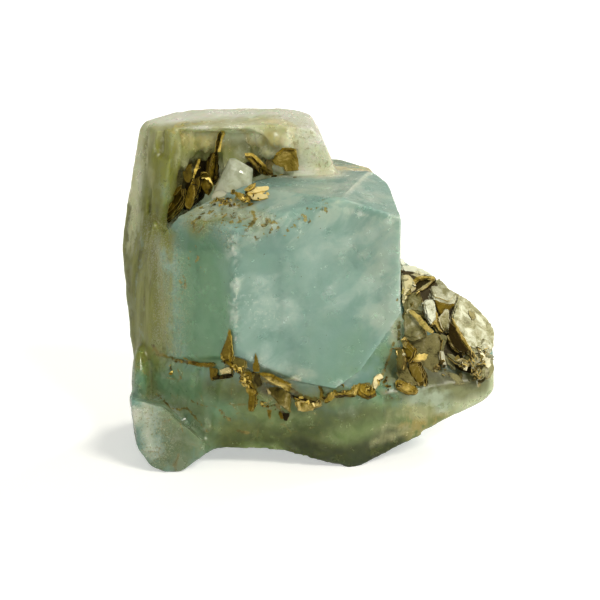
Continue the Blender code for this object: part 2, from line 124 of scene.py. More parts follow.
# ---------------------------------------------------------------- aquamarine crystals
# Several stubby beryl prisms grown into each other: a pale main crystal in front, a taller one behind it,
# a foot on the left and a wing on the right. Milky blue-green mineral, stained olive by iron on its old
# faces, with gold-brown films in its cracks and bruised, whitish edges.
GRAIN = 0.39  # size of the mesh's cells
WELD_GAP = 0.01
ROUNDING_PASSES = 14
RIB_LENGTH = 14  # how many times longer than wide a rib is
STEP_TILT = (0.3, 0.7, 0.2)
LEFT_FACE_LOOKS = (-0.607, -0.795, 0.03)
CORNER_FACET_LOOKS = (0.307, -0.097, 0.947)
CREASE_ANGLE = 34
CRYSTAL_LUMPS = (
    # knobs of crystal that hang from the rim of the hollow: centre, half sizes, turn about z in degrees
    ((-23.2, 2.4, 53.6), (1.0, 1.5, 4.4), 30),
    ((-21.8, 3.3, 53.4), (1.1, 1.6, 4.6), 20),
    ((-20.4, 3.9, 54.6), (1.0, 1.6, 3.4), 10),
    ((-19.1, 4.3, 55.2), (0.9, 1.6, 2.9), 0),
    ((-17.9, 4.5, 54.9), (1.0, 1.7, 3.0), 0),
    ((-16.7, 4.7, 55.3), (0.9, 1.7, 2.6), 0),
    ((-15.5, 4.9, 55.0), (0.8, 1.7, 3.0), 0),
    ((-19.6, 5.6, 52.2), (1.0, 1.1, 1.6), 30),
    ((-18.2, 6.0, 51.6), (0.9, 1.1, 1.5), 20),
    ((-16.8, 6.2, 51.6), (0.9, 1.2, 1.6), 0),
    ((-15.6, 6.2, 52.3), (0.7, 1.0, 1.3), 0),
    ((-9.4, 5.0, 55.2), (1.5, 2.0, 2.4), -45),
    ((-7.7, 3.4, 55.6), (1.6, 1.8, 2.2), -45),
    ((-5.8, 1.9, 55.5), (1.6, 1.6, 2.3), -45),
    ((-3.8, 1.0, 55.0), (1.3, 1.0, 2.6), -20),
    ((-8.6, 4.7, 52.4), (1.3, 1.5, 1.7), -45),
    ((-6.8, 3.1, 52.9), (1.4, 1.4, 1.6), -45),
    ((-5.0, 1.6, 52.4), (1.1, 1.1, 1.4), -45),
    ((-5.6, 3.4, 49.7), (0.9, 0.8, 0.8), -30),
    # the swelling on the left above the foot
    ((-29.6, -3.5, 12.5), (1.7, 4.0, 7.0), 0),
    # the belly that it stands on, under the front
    ((5.4, -11.9, 1.9), (3.6, 1.5, 1.8), 0),
)
CRYSTAL_FACETS = (
    # flat-faced blocks on the same wall
    ((-13.1, 6.4, 52.6), (2.2, 1.6, 4.6), (6, -2, 6)),
    ((-10.6, 7.0, 51.4), (1.2, 1.3, 4.2), (4, 6, -25)),
    ((-24.4, 1.6, 50.6), (0.9, 1.2, 6.4), (4, 3, 55)),
    ((-25.6, 0.2, 45.6), (0.8, 1.2, 6.8), (5, 6, 62)),
    # the fuller lower edge of the wing
    ((12.5, -9.1, 2.8), (7.5, 1.8, 1.4), (0, -20.5, 20)),
)
SURFACE_RELIEF = (
    # name, texture, cell size, height, vertex group
    ("swell", "CLOUDS", 9.0, 0.55, "weathered"),
    ("dents", "CLOUDS", 2.6, 0.30, "weathered"),
    ("waviness", "CLOUDS", 6.0, 0.10, "everywhere"),
    ("chips", "CLOUDS", 1.5, 2.2, "chipped"),
    ("crust", "VORONOI", 2.0, 0.9, "crusted"),
    ("etch pits", "VORONOI", 1.9, 0.6, "pitted"),
    ("growth steps", "CELLS", 3.4, 0.45, "stepped"),
    ("ribs", "RIBS", 1.7, 1.3, "ribbed"),
)
# Strokes over the surface that mark out where it has weathered in some way. Each has its radius, its
# strength and its path, as x, y, z of one place after another.
ROUNDED = (
    (9, 1, (-27.9, 9.1, 57.3, -29.9, 3, 50, -31, 0.7, 33.7, -30, -1.3, 18.6, -29, -1, 8)),
    (7, 1, (-20.9, 11.9, 57.7, -5, 11.6, 58.5, 1.6, 6, 57, 3, 4, 50)),
    (6, 1, (-28.3, -15.7, 4.4, -24, -15, 1, -18, -15, 2)),
    (8, 1, (30.3, -6, 9.6, 33, 0, 14, 26, -6, 9, 16, -8, 4, 7, -12, 1)),
    (5, 0.8, (3.7, 4, 51, 9, 4, 50, 13, 2, 47)),
    (30, 1, (-12, 22, 5, -12, 24, 25, -12, 26, 50)),
    (3.5, 1, (-18.2, -12, 18, -18.2, -12, 10, -18.2, -12.5, 3)),
    (3, 1, (9.8, -12.7, 13.8, 13.3, -10.5, 13, 17, -9.5, 12.8)),
)
CHIPPED = (
    (1.3, 1, (-12.9, -15.4, 43.1, -12.3, -16.2, 38.9, -12.3, -16.2, 33.6, -12.4, -16.4, 24.7)),
    (0.9, 0.8, (-12.9, -15.4, 43.1, -6.5, -16.2, 44.5, -1, -16.2, 48, 4.9, -16.2, 49.5)),
)
PITTED = (
    (4.5, 1, (-16, -9, 45, -13.4, -11.7, 45.5, -9.9, -14, 46.5, -7, -15, 46)),
    (3, 0.8, (-9.9, -15.6, 44.9, -6.5, -15.7, 43.7, -2, -15.8, 45.5)),
)
CRUSTED = (
    (4, 1, (-9.3, 5.6, 55.3, -6.7, 3.7, 54.9, -4, 1.2, 55.3)),
    (3, 0.8, (-22, 4, 54, -18, 5.5, 54)),
)
RIBBED = (
    (4.5, 1, (-26, 1, 55, -24, 3, 52, -25, 2.5, 46, -26.5, 0, 41)),
)
STEPPED = (
    (9, 1, (-22, -9, 13, -16, -13, 9, -8, -14, 7, 0, -14, 6)),
)


def brushed(places, strokes):
    """How strongly each place is covered by strokes, 0 to 1, fading outwards from their paths."""
    cover = np.zeros(len(places))
    for radius, strength, path in strokes:
        path = np.array(path, float).reshape(-1, 3)
        for start, end in zip(path, path[1:] if len(path) > 1 else path):
            run = end - start
            share = np.clip((places - start) @ run / max(run @ run, 1e-9), 0, 1)
            gap = np.linalg.norm(places - start - share[:, None] * run, axis=1)
            cover = np.maximum(cover, strength * np.clip(1 - gap / radius, 0, 1))
    return cover


def soft_step(value, low, high):
    share = np.clip((value - low) / (high - low), 0, 1)
    return share * share * (3 - 2 * share)


def mesh_places(piece):
    """Vertex places in millimetres and vertex normals, as arrays."""
    count = len(piece.data.vertices)
    places, normals = np.zeros(count * 3), np.zeros(count * 3)
    piece.data.vertices.foreach_get("co", places)
    piece.data.vertex_normals.foreach_get("vector", normals)
    return places.reshape(-1, 3) / MM, normals.reshape(-1, 3)


def weigh(piece, group_name, weights):
    """Stores weights in a vertex group, in a few even levels so that like vertices go in together."""
    levels = 20
    group = piece.vertex_groups.new(name=group_name)
    nearest = np.round(weights * levels).astype(int)
    for level in range(1, levels + 1):
        members = np.nonzero(nearest == level)[0].tolist()
        group.add(members, level / levels, "REPLACE")


def select_only(piece):
    bpy.ops.object.select_all(action="DESELECT")
    piece.select_set(True)
    bpy.context.view_layer.objects.active = piece


def apply_modifier(piece, kind, **settings):
    modifier = piece.modifiers.new(kind.lower(), kind)
    for key, value in settings.items():
        setattr(modifier, key, value)
    select_only(piece)
    bpy.ops.object.modifier_apply(modifier=modifier.name)


def join_all(pieces):
    bpy.ops.object.select_all(action="DESELECT")
    for piece in pieces:
        piece.select_set(True)
    bpy.context.view_layer.objects.active = pieces[0]
    bpy.ops.object.join()
    return bpy.context.object


def keep_inside(piece):
    """Trims what sticks out of the specimen's own box."""
    low, high = (np.array(corner_of_box) for corner_of_box in cad_box)
    for vertex in piece.data.vertices:
        vertex.co = Vector(np.clip(vertex.co, low, high))


solid = bpy.data.objects.new("crystal_solid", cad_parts["aquamarine"].data.copy())
bpy.context.scene.collection.objects.link(solid)
select_only(solid)
bpy.ops.object.mode_set(mode="EDIT")
bpy.ops.mesh.select_all(action="SELECT")
bpy.ops.mesh.remove_doubles(threshold=WELD_GAP * MM)
bpy.ops.object.mode_set(mode="OBJECT")

lumps = [solid]
for centre, half_sizes, turn in CRYSTAL_LUMPS:
    bpy.ops.mesh.primitive_ico_sphere_add(
        subdivisions=2,
        radius=MM,
        location=Vector(centre) * MM,
        rotation=(0, 0, math.radians(turn)),
        scale=half_sizes,
    )
    lumps.append(bpy.context.object)
for centre, half_sizes, turns in CRYSTAL_FACETS:
    bpy.ops.mesh.primitive_cube_add(
        size=2 * MM,
        location=Vector(centre) * MM,
        rotation=[math.radians(turn) for turn in turns],
        scale=half_sizes,
    )
    lumps.append(bpy.context.object)
join_all(lumps)

crystals = bpy.data.objects.new("aquamarine_crystals", solid.data.copy())
bpy.context.scene.collection.objects.link(crystals)
apply_modifier(crystals, "REMESH", mode="VOXEL", voxel_size=GRAIN * MM)
apply_modifier(crystals, "SHRINKWRAP", target=solid, wrap_method="NEAREST_SURFACEPOINT")
places, normals = mesh_places(crystals)
weigh(crystals, "rounded", soft_step(brushed(places, ROUNDED), 0.1, 0.6))
apply_modifier(crystals, "SMOOTH", factor=0.5, iterations=1)
apply_modifier(crystals, "SMOOTH", factor=0.8, iterations=ROUNDING_PASSES, vertex_group="rounded")

places, normals = mesh_places(crystals)
# The main crystal's own faces, which are fresher than the rest, told by the way they look and where they are.
in_front = soft_step(-normals[:, 1], 0.93, 0.97) * soft_step(-places[:, 1], 14.8, 15.6)
on_left = soft_step(normals @ np.array(LEFT_FACE_LOOKS), 0.93, 0.98) * soft_step(places[:, 2], 18, 20)
on_top = soft_step(normals[:, 2], 0.97, 0.99) * soft_step(places[:, 2], 48, 48.8)
on_top = on_top * soft_step(-places[:, 1], -1.5, 0)
corner = soft_step(normals @ np.array(CORNER_FACET_LOOKS), 0.975, 0.99) * soft_step(places[:, 0], 4, 5)
fresh = np.clip(in_front + on_left + on_top + corner, 0, 1)
weigh(crystals, "everywhere", 1 - 0.6 * fresh)
weigh(crystals, "weathered", (1 - fresh) * soft_step(brushed(places, ROUNDED), 0.05, 0.4))
weigh(crystals, "chipped", brushed(places, CHIPPED))
weigh(crystals, "pitted", soft_step(brushed(places, PITTED), 0, 0.5))
weigh(crystals, "crusted", soft_step(brushed(places, CRUSTED), 0, 0.5))
weigh(crystals, "ribbed", soft_step(brushed(places, RIBBED), 0, 0.4))
weigh(crystals, "stepped", soft_step(brushed(places, STEPPED), 0, 0.4))

bpy.ops.object.empty_add(location=(0, 0, 0))
rib_frame = bpy.context.object
rib_frame.scale = (1, 1, RIB_LENGTH)
bpy.ops.object.empty_add(location=(0, 0, 0), rotation=STEP_TILT)
step_frame = bpy.context.object
frames = {"RIBS": rib_frame, "CELLS": step_frame}
for relief_name, kind, size, height, group in SURFACE_RELIEF:
    texture = bpy.data.textures.new(relief_name, "VORONOI" if kind == "VORONOI" else "CLOUDS")
    texture.noise_scale = size * MM
    if kind == "CELLS":
        texture.noise_basis = "CELL_NOISE"
    settings = {"texture_coords": "LOCAL"}
    if kind in frames:
        settings = {"texture_coords": "OBJECT", "texture_coords_object": frames[kind]}
    apply_modifier(
        crystals, "DISPLACE", texture=texture, strength=height * MM, vertex_group=group, **settings
    )
bpy.data.objects.remove(rib_frame)
bpy.data.objects.remove(step_frame)
bpy.data.objects.remove(solid)
keep_inside(crystals)
select_only(crystals)
bpy.ops.object.shade_smooth_by_angle(angle=math.radians(CREASE_ANGLE))

# Where each tone shows: strokes like the ones above. Most tones are the mineral's own colours, but some are
# painted light and shade: the bright and whitish tones are in places painted sheen, highlights and lit walls,
# the glow is painted light seen through the lower mass, and the darker greens and browns on the left face,
# the low front, the recesses and along the bottom are partly painted shade. Besides the tones of the next
# table there are films of mica or iron, rusty grit, dirty pits, painted glints and glare in sparkling spots
# and broken ground.
TONE_STROKES = {
    "stale": (
        (9, 1, (-29.1, 5.1, 54.3, -29.9, 4, 45.6, -27.6, -1, 40.6)),
        (8, 1, (-27.6, -1.7, 38.1, -27.6, -3.9, 29.7, -27.8, -4.2, 19.6)),
        (6, 0.7, (-28.6, -3.1, 19.2, -28.9, -2.9, 11.7)),
        (6, 1, (-22.4, 3.4, 54.8, -19, 5.9, 53.2, -14.7, 7.2, 52.9, -10.3, 7.2, 52)),
        (7, 1, (-25.8, 1.7, 49.8, -25.1, 3, 44, -25.7, -4.2, 40.7)),
        (4, 0.8, (-19.4, -10.5, 43.4, -15.9, -10.6, 45.2, -11.6, -11.7, 46.1)),
        (8, 1, (-11.9, -12.6, 5, -3.2, -13.2, 5.6, 5.5, -13.8, 6.2, 14.3, -10.5, 5.7, 21.3, -7.9, 7.9)),
        (5, 0.7, (-13.6, -13.7, 15.6, -8.4, -13.8, 13.8, -1.5, -14.1, 13, 5.4, -14.2, 13.6)),
        (6, 1, (-31.9, 6.4, 42.1, -32.1, 5.1, 36.1, -31.5, 1.8, 27.8, -30.5, -0.1, 18.2)),
    ),
    # darker green on the main crystal's left face: partly painted shade of the side turned from the lamps
    "deep": (
        (7, 1, (-17.2, -12.5, 36, -16.4, -13.4, 29.1, -16.6, -13.4, 22.8)),
        (9, 0.6, (-20.3, -10, 37, -20.5, -10.5, 22.7)),
        (10, 1, (-18, -11, 38, -18, -11, 24)),
        (6, 0.6, (-20.6, -9.7, 18.8, -16.1, -13.9, 21.1)),
        (8, 0.35, (7.4, -16.8, 23, 9.6, -16.6, 25.7, 4.5, -17, 18.1)),
    ),
    "glow": (
        (4, 1, (-10.1, -13.4, 11.8, -5.8, -13.5, 10, -1.5, -13.8, 10.7)),
        (3, 0.9, (-10.2, -12.5, 3, -5.8, -12.8, 2.7, -1.5, -13, 2.6)),
        (5, 0.8, (5.5, -13.7, 5.4, 12.5, -11.4, 6.4, 17.8, -9.2, 6.5)),
    ),
    "grit": (
        (6, 1, (-25.2, 3.5, 39.3, -24.2, -7.1, 36.1, -23.6, -7.8, 29.1, -24.5, -7.5, 21.7)),
        (3, 0.8, (-21.1, -8.3, 44.5, -18.5, -11.1, 44.1, -14.7, -14.1, 43.9, -13.5, -15.1, 42.1)),
        (5, 0.8, (-27.4, -15.6, 9.9, -25.7, -15.5, 6.2, -27.5, -15.7, 2.5)),
        (6, 0.8, (-3.2, 4.8, 58, 0.3, 0.7, 55.4, 3.7, 0.7, 51)),
        (3.2, 0.45, (-20.3, -8.4, 44.8, -17.5, -8.4, 45.7, -13.7, -9.9, 46.2, -10.6, -13.1, 45.8,
            -7.9, -15.7, 45.1)),
    ),
    "veil": (
        (6, 0.45, (-1.5, -16, 38.9, 5.3, -15.8, 42.3, 12.8, -15.8, 42.3)),
        (5, 0.5, (3.6, -16.2, 33.6, 7.8, -16.3, 31.9, 11.2, -16.2, 33.6)),
        (3, 0.8, (-8.9, -16.2, 33.6, -6.9, -16.1, 35.4)),
        (3.5, 0.8, (-10.3, -16.8, 22.7, -8, -16.9, 20.9, -4.9, -17, 19.1)),
        (3, 0.5, (11.3, -15.7, 44.9, 14.1, -16, 38.9, 14.5, -16.3, 31.9)),
        (3.5, 1, (-7.9, -16.3, 31.5, -6.2, -16.5, 28.7, -3.5, -16.4, 29.8)),
        (5, 0.55, (-10.8, -16.4, 31, -10, -16.6, 26.6, -8, -16.7, 23.9)),
    ),
    "dim": (
        (7, 0.9, (4.5, -17, 18.1, 1.9, -16.8, 21.3, 6.2, -16.8, 23)),
        (5, 0.7, (-9.9, -15.9, 40.6, -6.9, -16, 38.5)),
        (5, 0.6, (14.7, -16.5, 28.4, 14.4, -3.2, 19.3)),
        (4, 0.6, (0.2, -16.6, 25.7, 4.5, -16.5, 27.5)),
    ),
    "pit": (
        (3.2, 0.65, (-19.2, -10.3, 44.3, -16.8, -9.5, 45.4, -14.2, -11.6, 45.3, -11.6, -14.1, 45,
            -9.9, -15.7, 44.7)),
        (2.6, 0.65, (-9.9, -14.8, 45.2, -6.9, -15.7, 45.1, -2.8, -15.7, 44.4)),
        (2, 0.55, (-2.8, -15.7, 44.7, 0.2, -15.6, 46.8, 3.2, -15.5, 47.9)),
        (2.5, 0.8, (-19.2, -10.8, 38.2, -18.9, -11.1, 36.5)),
        (2, 0.7, (-21.8, -9.1, 33.1, -21.4, -9.4, 32.1)),
    ),
    "olive": (
        (7, 0.85, (-29.5, 1.3, 38.1, -29.9, 0.7, 33.7, -29.6, -0.9, 28.7, -29.3, -1.9, 23.5,
            -29.8, -1.3, 18.6)),
        (3, 0.8, (-27.9, 9.1, 57.3, -26, 7.4, 57.3, -23.2, 2.9, 57.4)),
        (8, 1, (-27.6, -0.8, 41.1, -28, -2, 34.6, -28.2, -3.3, 27.6, -28.5, -3.1, 23.9)),
        (7, 0.6, (-28.5, -3.1, 22, -29.5, -2, 12.3)),
        (4.5, 0.5, (-24.2, -7, 40.6, -24.7, -6.9, 30.6, -24.8, -7.1, 21.5)),
        (5, 1, (-25.7, 1, 56.3, -25.5, 1.7, 51.6, -25.9, 2.1, 47, -26.9, 2.1, 41.5)),
        (3.5, 0.8, (-8.1, 6.6, 53.9, -5.8, 0.7, 55.4)),
        (4, 0.8, (-31.9, 5.9, 40.4, -31.9, 3.8, 32.8, -31, 0.9, 22.6)),
    ),
    # frosted whitish bands on chipped edges; the thin lines along the front's edges are partly painted
    # highlight
    "frost": (
        (2.2, 0.8, (-12.9, -15.4, 43.1, -12.3, -16, 38.9, -12.3, -16.2, 33.6, -12.4, -16.4, 28.7)),
        (3.5, 0.8, (-17.7, -9.1, 45.3, -13.4, -9.3, 46.6, -10.8, -12.1, 46.2, -7.9, -15.3, 45.7,
            -3.2, -15.7, 44.4)),
        (2, 0.6, (-13.1, -15.3, 42.2, -12.8, -15.8, 35.3, -12.7, -16.2, 28.3)),
        (4, 0.7, (-27.6, -15.5, 12.6, -27.4, -15.6, 8, -26.9, -15.7, 4)),
        (2.5, 0.6, (-29.5, -2, 9.5, -26.1, -5.8, 9.6, -22.9, -8.3, 9.2)),
        (1, 0.8, (4.4, -15.5, 48.2, 6.9, -15.5, 47.3, 10.3, -15.6, 46.5, 14, -15.6, 45.3)),
        (2, 0.5, (5.4, -17.1, 16.8, 7.6, -9.5, 15.4)),
        (2.5, 0.5, (-29.7, -15.6, 13.2)),
    ),
    "silver": (
        (3, 1, (-29.3, 5.8, 55.9, -30.1, 6.1, 52.2, -30.9, 6, 46.8, -31.3, 5.4, 42.4, -31.9, 5.6, 39.3)),
        (4.5, 0.9, (-29.1, 5.1, 54.3, -29.9, 4.9, 48.9, -30.7, 4.7, 43.5)),
        (5, 0.8, (-30.5, 3.7, 41.1, -31.5, 4.1, 36.4)),
    ),
    # dark brown in the hollow's recesses and under the front's overhanging edge: partly iron stain, partly
    # painted shade
    "umber_and_shade": (
        (4, 1, (-23.2, 3.8, 47.4, -24, 3.8, 43.8, -25, 3.4, 41.2)),
        (5, 1, (-20.8, 5.1, 49.8, -19.1, 6.6, 47, -20.9, 5.9, 43.6, -23.3, 4.6, 41.4)),
        (3.5, 0.9, (-10.3, 7.2, 49.2, -7.1, 5.7, 50.5, -4.1, 1.6, 51.1)),
        (2.4, 0.8, (-13.2, -14.1, 19.2, -10.1, -14, 16.8, -7, -14, 15.2, -2.9, -14.1, 13.7)),
        (3, 0.5, (-23.9, 3.5, 46.6, -24.6, 3.2, 44.9, -25.5, 2.9, 43)),
    ),
    # whitish frost; painted light on the back top and the hollow's right rim, a painted highlight by the
    # corner facet
    "white": (
        (7, 1, (-20.9, 10.5, 57.6, -13.9, 11.9, 58, -6.8, 11.3, 58.4, -1.5, 8.3, 58)),
        (6, 1, (-1.5, 0.7, 57.2, 1.1, 2, 56.9, 1.6, 0.7, 53.7, -1.5, 0.7, 52.2, 3.7, 0.7, 51.5)),
        (2.6, 0.5, (-28, -15.5, 12.6, -27.9, -15.6, 8, -27.5, -15.7, 3.4)),
        (1.2, 0.3, (-24.8, -15.5, 6.1, -20.5, -15.3, 6.6)),
        (8, 1, (-24.3, 8.5, 57.4, -19.1, 10.2, 57.7, -12.1, 10.9, 58.1, -4.1, 11.9, 58.4, -1.5, 6.5, 57.9)),
        (0.9, 0.5, (4.9, -15.5, 48.9, 8.1, -6.9, 49.5, 10.9, 2.2, 49.5)),
        (2, 0.5, (-30.1, -10.1, 11.9)),
        (2.6, 1, (-30.1, -15.7, 10.8, -30.4, -9.2, 4.6)),
    ),
    "straw": (
        (4, 1, (-22.6, 2.4, 56.6, -18.9, 4.6, 55.3, -11.9, 4.6, 55.3, -6.7, 0.7, 56)),
        (2.2, 0.6, (-16, -6.9, 46.8, -12.6, -8.5, 47.3, -10, -11.5, 46.7)),
        (4.5, 0.8, (17.5, -9.3, 5.6, 20.5, -8.3, 7.1, 22.8, -7.4, 7.7)),
    ),
    "cream": (
        (3, 1, (-8.1, 4.1, 58.2, -4.9, 3.2, 58, -2.9, 0.7, 56.3, -2.3, 0.7, 53.7)),
        (4, 0.9, (2.9, 0.7, 51.3, 6.4, 5.5, 49.1, 10.8, 6.7, 48.6)),
    ),
    # lighter patches on the front, and painted light: a painted sheen on the top face and a painted highlight
    # on its edge
    "bright": (
        (8, 0.8, (12.8, -15.7, 44.1, 13.9, -16.1, 37.1, 13.8, -16.4, 30.1)),
        (5, 0.5, (-9.9, -15.8, 42.3, -1.5, -15.6, 46.6, 3.6, -15.5, 47.2)),
        (6, 0.8, (-7.9, -11.9, 47.2, -1.5, -11.4, 49.3, 6.2, -7.8, 49.5, 9.7, -3.1, 49.3)),
        (5, 0.6, (1.9, -15.6, 47, 6.9, -15.5, 48.4, 13.1, -7.3, 47.8)),
        (1, 1, (4.4, -15.5, 48.5, 6.1, -13.6, 49.4, 8.1, -7.3, 49.4, 10.9, 2.2, 49.5)),
        (4, 0.5, (-10.7, -15.8, 42.3, -7.4, -15.8, 42.2, -3.8, -15.8, 42.3)),
        (5, 0.5, (7, -15.9, 40.6, 9.7, -15.9, 39.6)),
        (4, 0.4, (13.2, -9.5, 47.6, 13.5, -15.7, 44.7)),
        (5, 0.3, (-7.9, -16.3, 32.7, -6.9, -16.4, 29.8, -5.6, -16.6, 26.6)),
        (2, 0.8, (-3.2, -16.9, 19.3, 0.6, -17, 19.1)),
    ),
    "lower": (
        (8, 1, (-27.9, -4.3, 15.4, -25.2, -6.4, 12, -21.5, -9.2, 14, -18, -11.9, 12.2, -13.6, -13.2, 11.8,
            -18, -12.1, 6.7, -12.8, -12.7, 6.9)),
        (3.5, 0.9, (3.7, -14.4, 12.7, 6.8, -13.6, 12.3, 10.3, -12.4, 12.2, 13.5, -10.6, 11.9)),
        (3, 0.5, (14.9, -3, 19.2, 14.6, -6.2, 16.4)),
        (3.5, 1, (4.6, -14.4, 12.4, 7.2, -13.5, 11.8, 10, -12.5, 11.9, 14.2, -10.4, 11.6)),
        (4, 0.7, (-17.9, -11.8, 18.6, -14.9, -13.5, 17.9, -16.2, -12.7, 15.2)),
        (4, 0.8, (14, -4.3, 18.3, 13.6, -7.3, 15.7, 12.4, -10.1, 13.4)),
        (3, 0.5, (7.9, -16.9, 19.3, 10.4, -6.7, 17.1, 12.4, -4.3, 18.7)),
    ),
    # dark moss green on the low front: partly its own colour, partly painted shade under the overhang
    "moss_and_shade": (
        (6, 1, (-6.7, -13.2, 8.1, -1.5, -13.7, 9, 4.6, -14, 8.3, 10.7, -12, 7.6, 16, -9.8, 5.8)),
        (5, 0.8, (-13.7, -12.5, 4.8, -8.4, -12.7, 4.5, -1.5, -13.2, 4.5)),
        (5, 0.6, (-17.1, -12, 14.4, -11.8, -13.6, 14.1)),
        (4, 0.5, (-14.3, -12.8, 8.1, -10.2, -12.9, 7)),
        (1.5, 0.6, (13.5, -10.6, 11.7, 16, -9.7, 11.6)),
    ),
    # painted shade: a very dark band along the bottom of the front, just above the table
    "shade_below": (
        (5, 1, (-1.5, -13, 2.9, 2, -13.1, 2, 6.4, -13.2, 1.3, 11.1, -11.6, 2.4, 14.6, -10.4, 4.2)),
    ),
    "sage": (
        (6, 1, (21.3, -7.9, 10.3, 25.8, -6.3, 9.8, 30.3, -4.8, 10.5, 31.7, -4.2, 12.7)),
        (3, 0.7, (15.7, 0.6, 22.3, 15.8, -2.1, 19.8)),
    ),
    "amber": (
        (2.5, 0.7, (18.3, -9, 8.9, 19.6, -8.6, 6.8, 16.7, -9.6, 6.1)),
    ),
    "foot": (
        (7, 1, (-24.8, -15.4, 10.7, -20.5, -14.3, 7.5, -23.1, -15.5, 3.9)),
        (3.5, 1, (-30.1, 0.7, 9, -28, -4.4, 10.2, -25.2, -6.5, 9.6, -22.5, -8.6, 9.3, -19.2, -11.1, 9.8)),
        (4, 0.5, (-22.1, -8.9, 8.3, -20.9, -13.9, 7.8)),
        (4, 0.8, (-29.5, -2, 9.7, -27, -8.9, 10.7, -24.1, -10.7, 9.9)),
    ),
    "film": (
        (0.9, 0.9, (-28.7, -3.2, 12, -28.3, -3.8, 11.3, -26.1, -5.8, 10.7, -24.3, -8.1, 9.3, -23.2, -8.1, 8.9,
            -21.2, -9.6, 9.8, -20, -10.5, 8.7, -18.5, -11.7, 7.6, -17.5, -12, 6.3)),
        (1.1, 1, (-27.3, -4.6, 19.6, -26.4, -5.3, 18.3, -24.5, -7.1, 18.4, -22, -8.6, 18.2, -20.6, -9.7, 18.4,
            -17.4, -11.6, 18.5, -16.3, -12.4, 19)),
        (1.3, 1, (-12.1, -14.2, 19.2, -10.1, -14.1, 17.8, -8, -14.1, 16.7, -5.6, -14.2, 16, -3.2, -14.2, 15.1,
            -1.5, -14.2, 13.8, 0.6, -14.3, 13.2)),
        (1.3, 1, (0.6, -14.3, 13.2, 2.3, -14.3, 12.9, 3.7, -14.5, 13.9, 6.8, -13.8, 14.3, 9, -10.6, 13.9,
            10.4, -9.7, 14.3)),
        (0.8, 0.9, (-20.7, -9.9, 11.3, -18.9, -11.3, 11.2, -17.5, -11.9, 11.1)),
        (0.9, 1, (-15.3, -13, 10.7, -14.5, -12.9, 9.6, -13.6, -12.9, 8.9)),
        (0.9, 1, (-12.3, -12.8, 6.8, -10.5, -12.8, 6.4)),
        (0.8, 0.9, (-7, -13.6, 11.1, -6.7, -13.3, 9)),
        (1.1, 1, (-5.5, -13.8, 12.1, -4.8, -13.7, 11, -3.7, -13.6, 9.5)),
        (0.9, 0.8, (-22.8, -8.1, 16.7, -22.2, -8.6, 15)),
        (0.8, 0.7, (-24.5, -7.5, 19.5, -23, -8.6, 19.9)),
        (1, 0.9, (15.1, -16.3, 31.9, 16, 0.6, 22.3, 16, -2.1, 19.8)),
        (0.8, 0.8, (13.9, -8.4, 14.6, 14, -9.5, 13.5)),
        (1.6, 0.8, (9.7, -10.5, 13.9, 11, -12.3, 13.8)),
        (0.9, 0.9, (15.1, -2.6, 19.6, 14, -5.4, 17.3, 12.7, -8.4, 15, 11.2, -12.2, 13.4)),
        (0.8, 0.8, (12.7, -8.4, 15, 13.5, -10.2, 13, 14.6, -10.2, 11.9)),
        (0.8, 0.8, (-27.5, -4.5, 18.4, -26, -5.6, 18.1, -23.8, -8.1, 18.9)),
        (0.8, 0.8, (-22.4, -8.4, 16.1, -22.8, -8.2, 14.2)),
        (0.7, 0.7, (-13.1, -13.3, 12.3, -11.9, -13.2, 10.8, -12.6, -13, 8.9)),
        (0.9, 0.66, (-14.7, -13.7, 44.2, -10.7, -15.7, 44.2)),
        (0.9, 0.62, (-2.8, -15.6, 46.1, -3, -15.7, 44.4)),
        (0.8, 0.64, (-20.9, -9.3, 43.6, -20.2, -9.9, 43)),
        (1.7, 0.95, (-16.5, -7.2, 46.5, -15.3, -7.2, 46.9, -13.8, -8.7, 46.8)),
        (1.2, 0.9, (-19.7, 6.9, 41.8, -18.4, -7.8, 45.7)),
        (1.3, 0.9, (-18, -9.4, 45, -18.7, -10.1, 44.5)),
        (1.3, 0.9, (-12, -9.9, 46.8, -11.2, -11, 46.6)),
        (1.5, 0.9, (-9.6, -12.6, 46.3, -8.9, -14.8, 45.6, -9.9, -15.7, 44.7)),
        (1.2, 0.9, (-13.3, -11.9, 45.4, -12.3, -13.1, 45.2)),
        (1.2, 0.85, (-10.6, -15.7, 44.2)),
        (1.2, 0.8, (-6.9, -15.6, 45.6, -6, -15.7, 44.7)),
    ),
    # painted glints and glare: where lamp sparkle and a soft white glare are painted into the colour
    "sparkle": (
        (4.5, 1, (-10.6, -16.3, 31.5, -8.6, -16.4, 29.2, -6.2, -16.5, 28, -4, -16.5, 28.7)),
        (3.5, 0.8, (-8.6, -16.2, 34.5, -6.9, -16.3, 33.1)),
        (3.5, 0.9, (-7.9, -13.4, 46.5, -4.8, -15.6, 45.4, -1.5, -15.6, 46.6, 1.9, -15.5, 48)),
        (2.5, 0.9, (12.6, -16.1, 35.4, 13.1, -16.3, 31.9, 13.5, -16.4, 29.8)),
        (2, 0.7, (4.9, -16, 38.5, 6.1, -15.9, 39.6, 9, -15.7, 44.4)),
        (4, 0.8, (-1.5, 0.7, 56.3, 0.3, 0.7, 55.4)),
        (4, 0.6, (-27.6, -15.5, 12.6, -27.8, -15.7, 4.4)),
    ),
    "matrix": (
        (4, 1, (17.7, -8.4, 13.5, 20.4, -8.2, 12.7, 24, -6.9, 12.2, 27.5, -5.7, 12.1, 29.9, -4.9, 12.6)),
        (3.5, 0.9, (16, -6.7, 15.5, 16.3, -8.4, 13.9)),
        (5, 1, (16.8, -5.7, 16.3, 20.4, -6.1, 14.9, 24.9, -5.8, 13.9, 29.1, -5.1, 13.4)),
        (2.5, 0.7, (14.7, -5.6, 17, 13.9, -8.1, 14.9)),
        (1.5, 0.7, (13.1, -10.4, 12.9, 15.3, -9.7, 13)),
    ),
    "broken": (
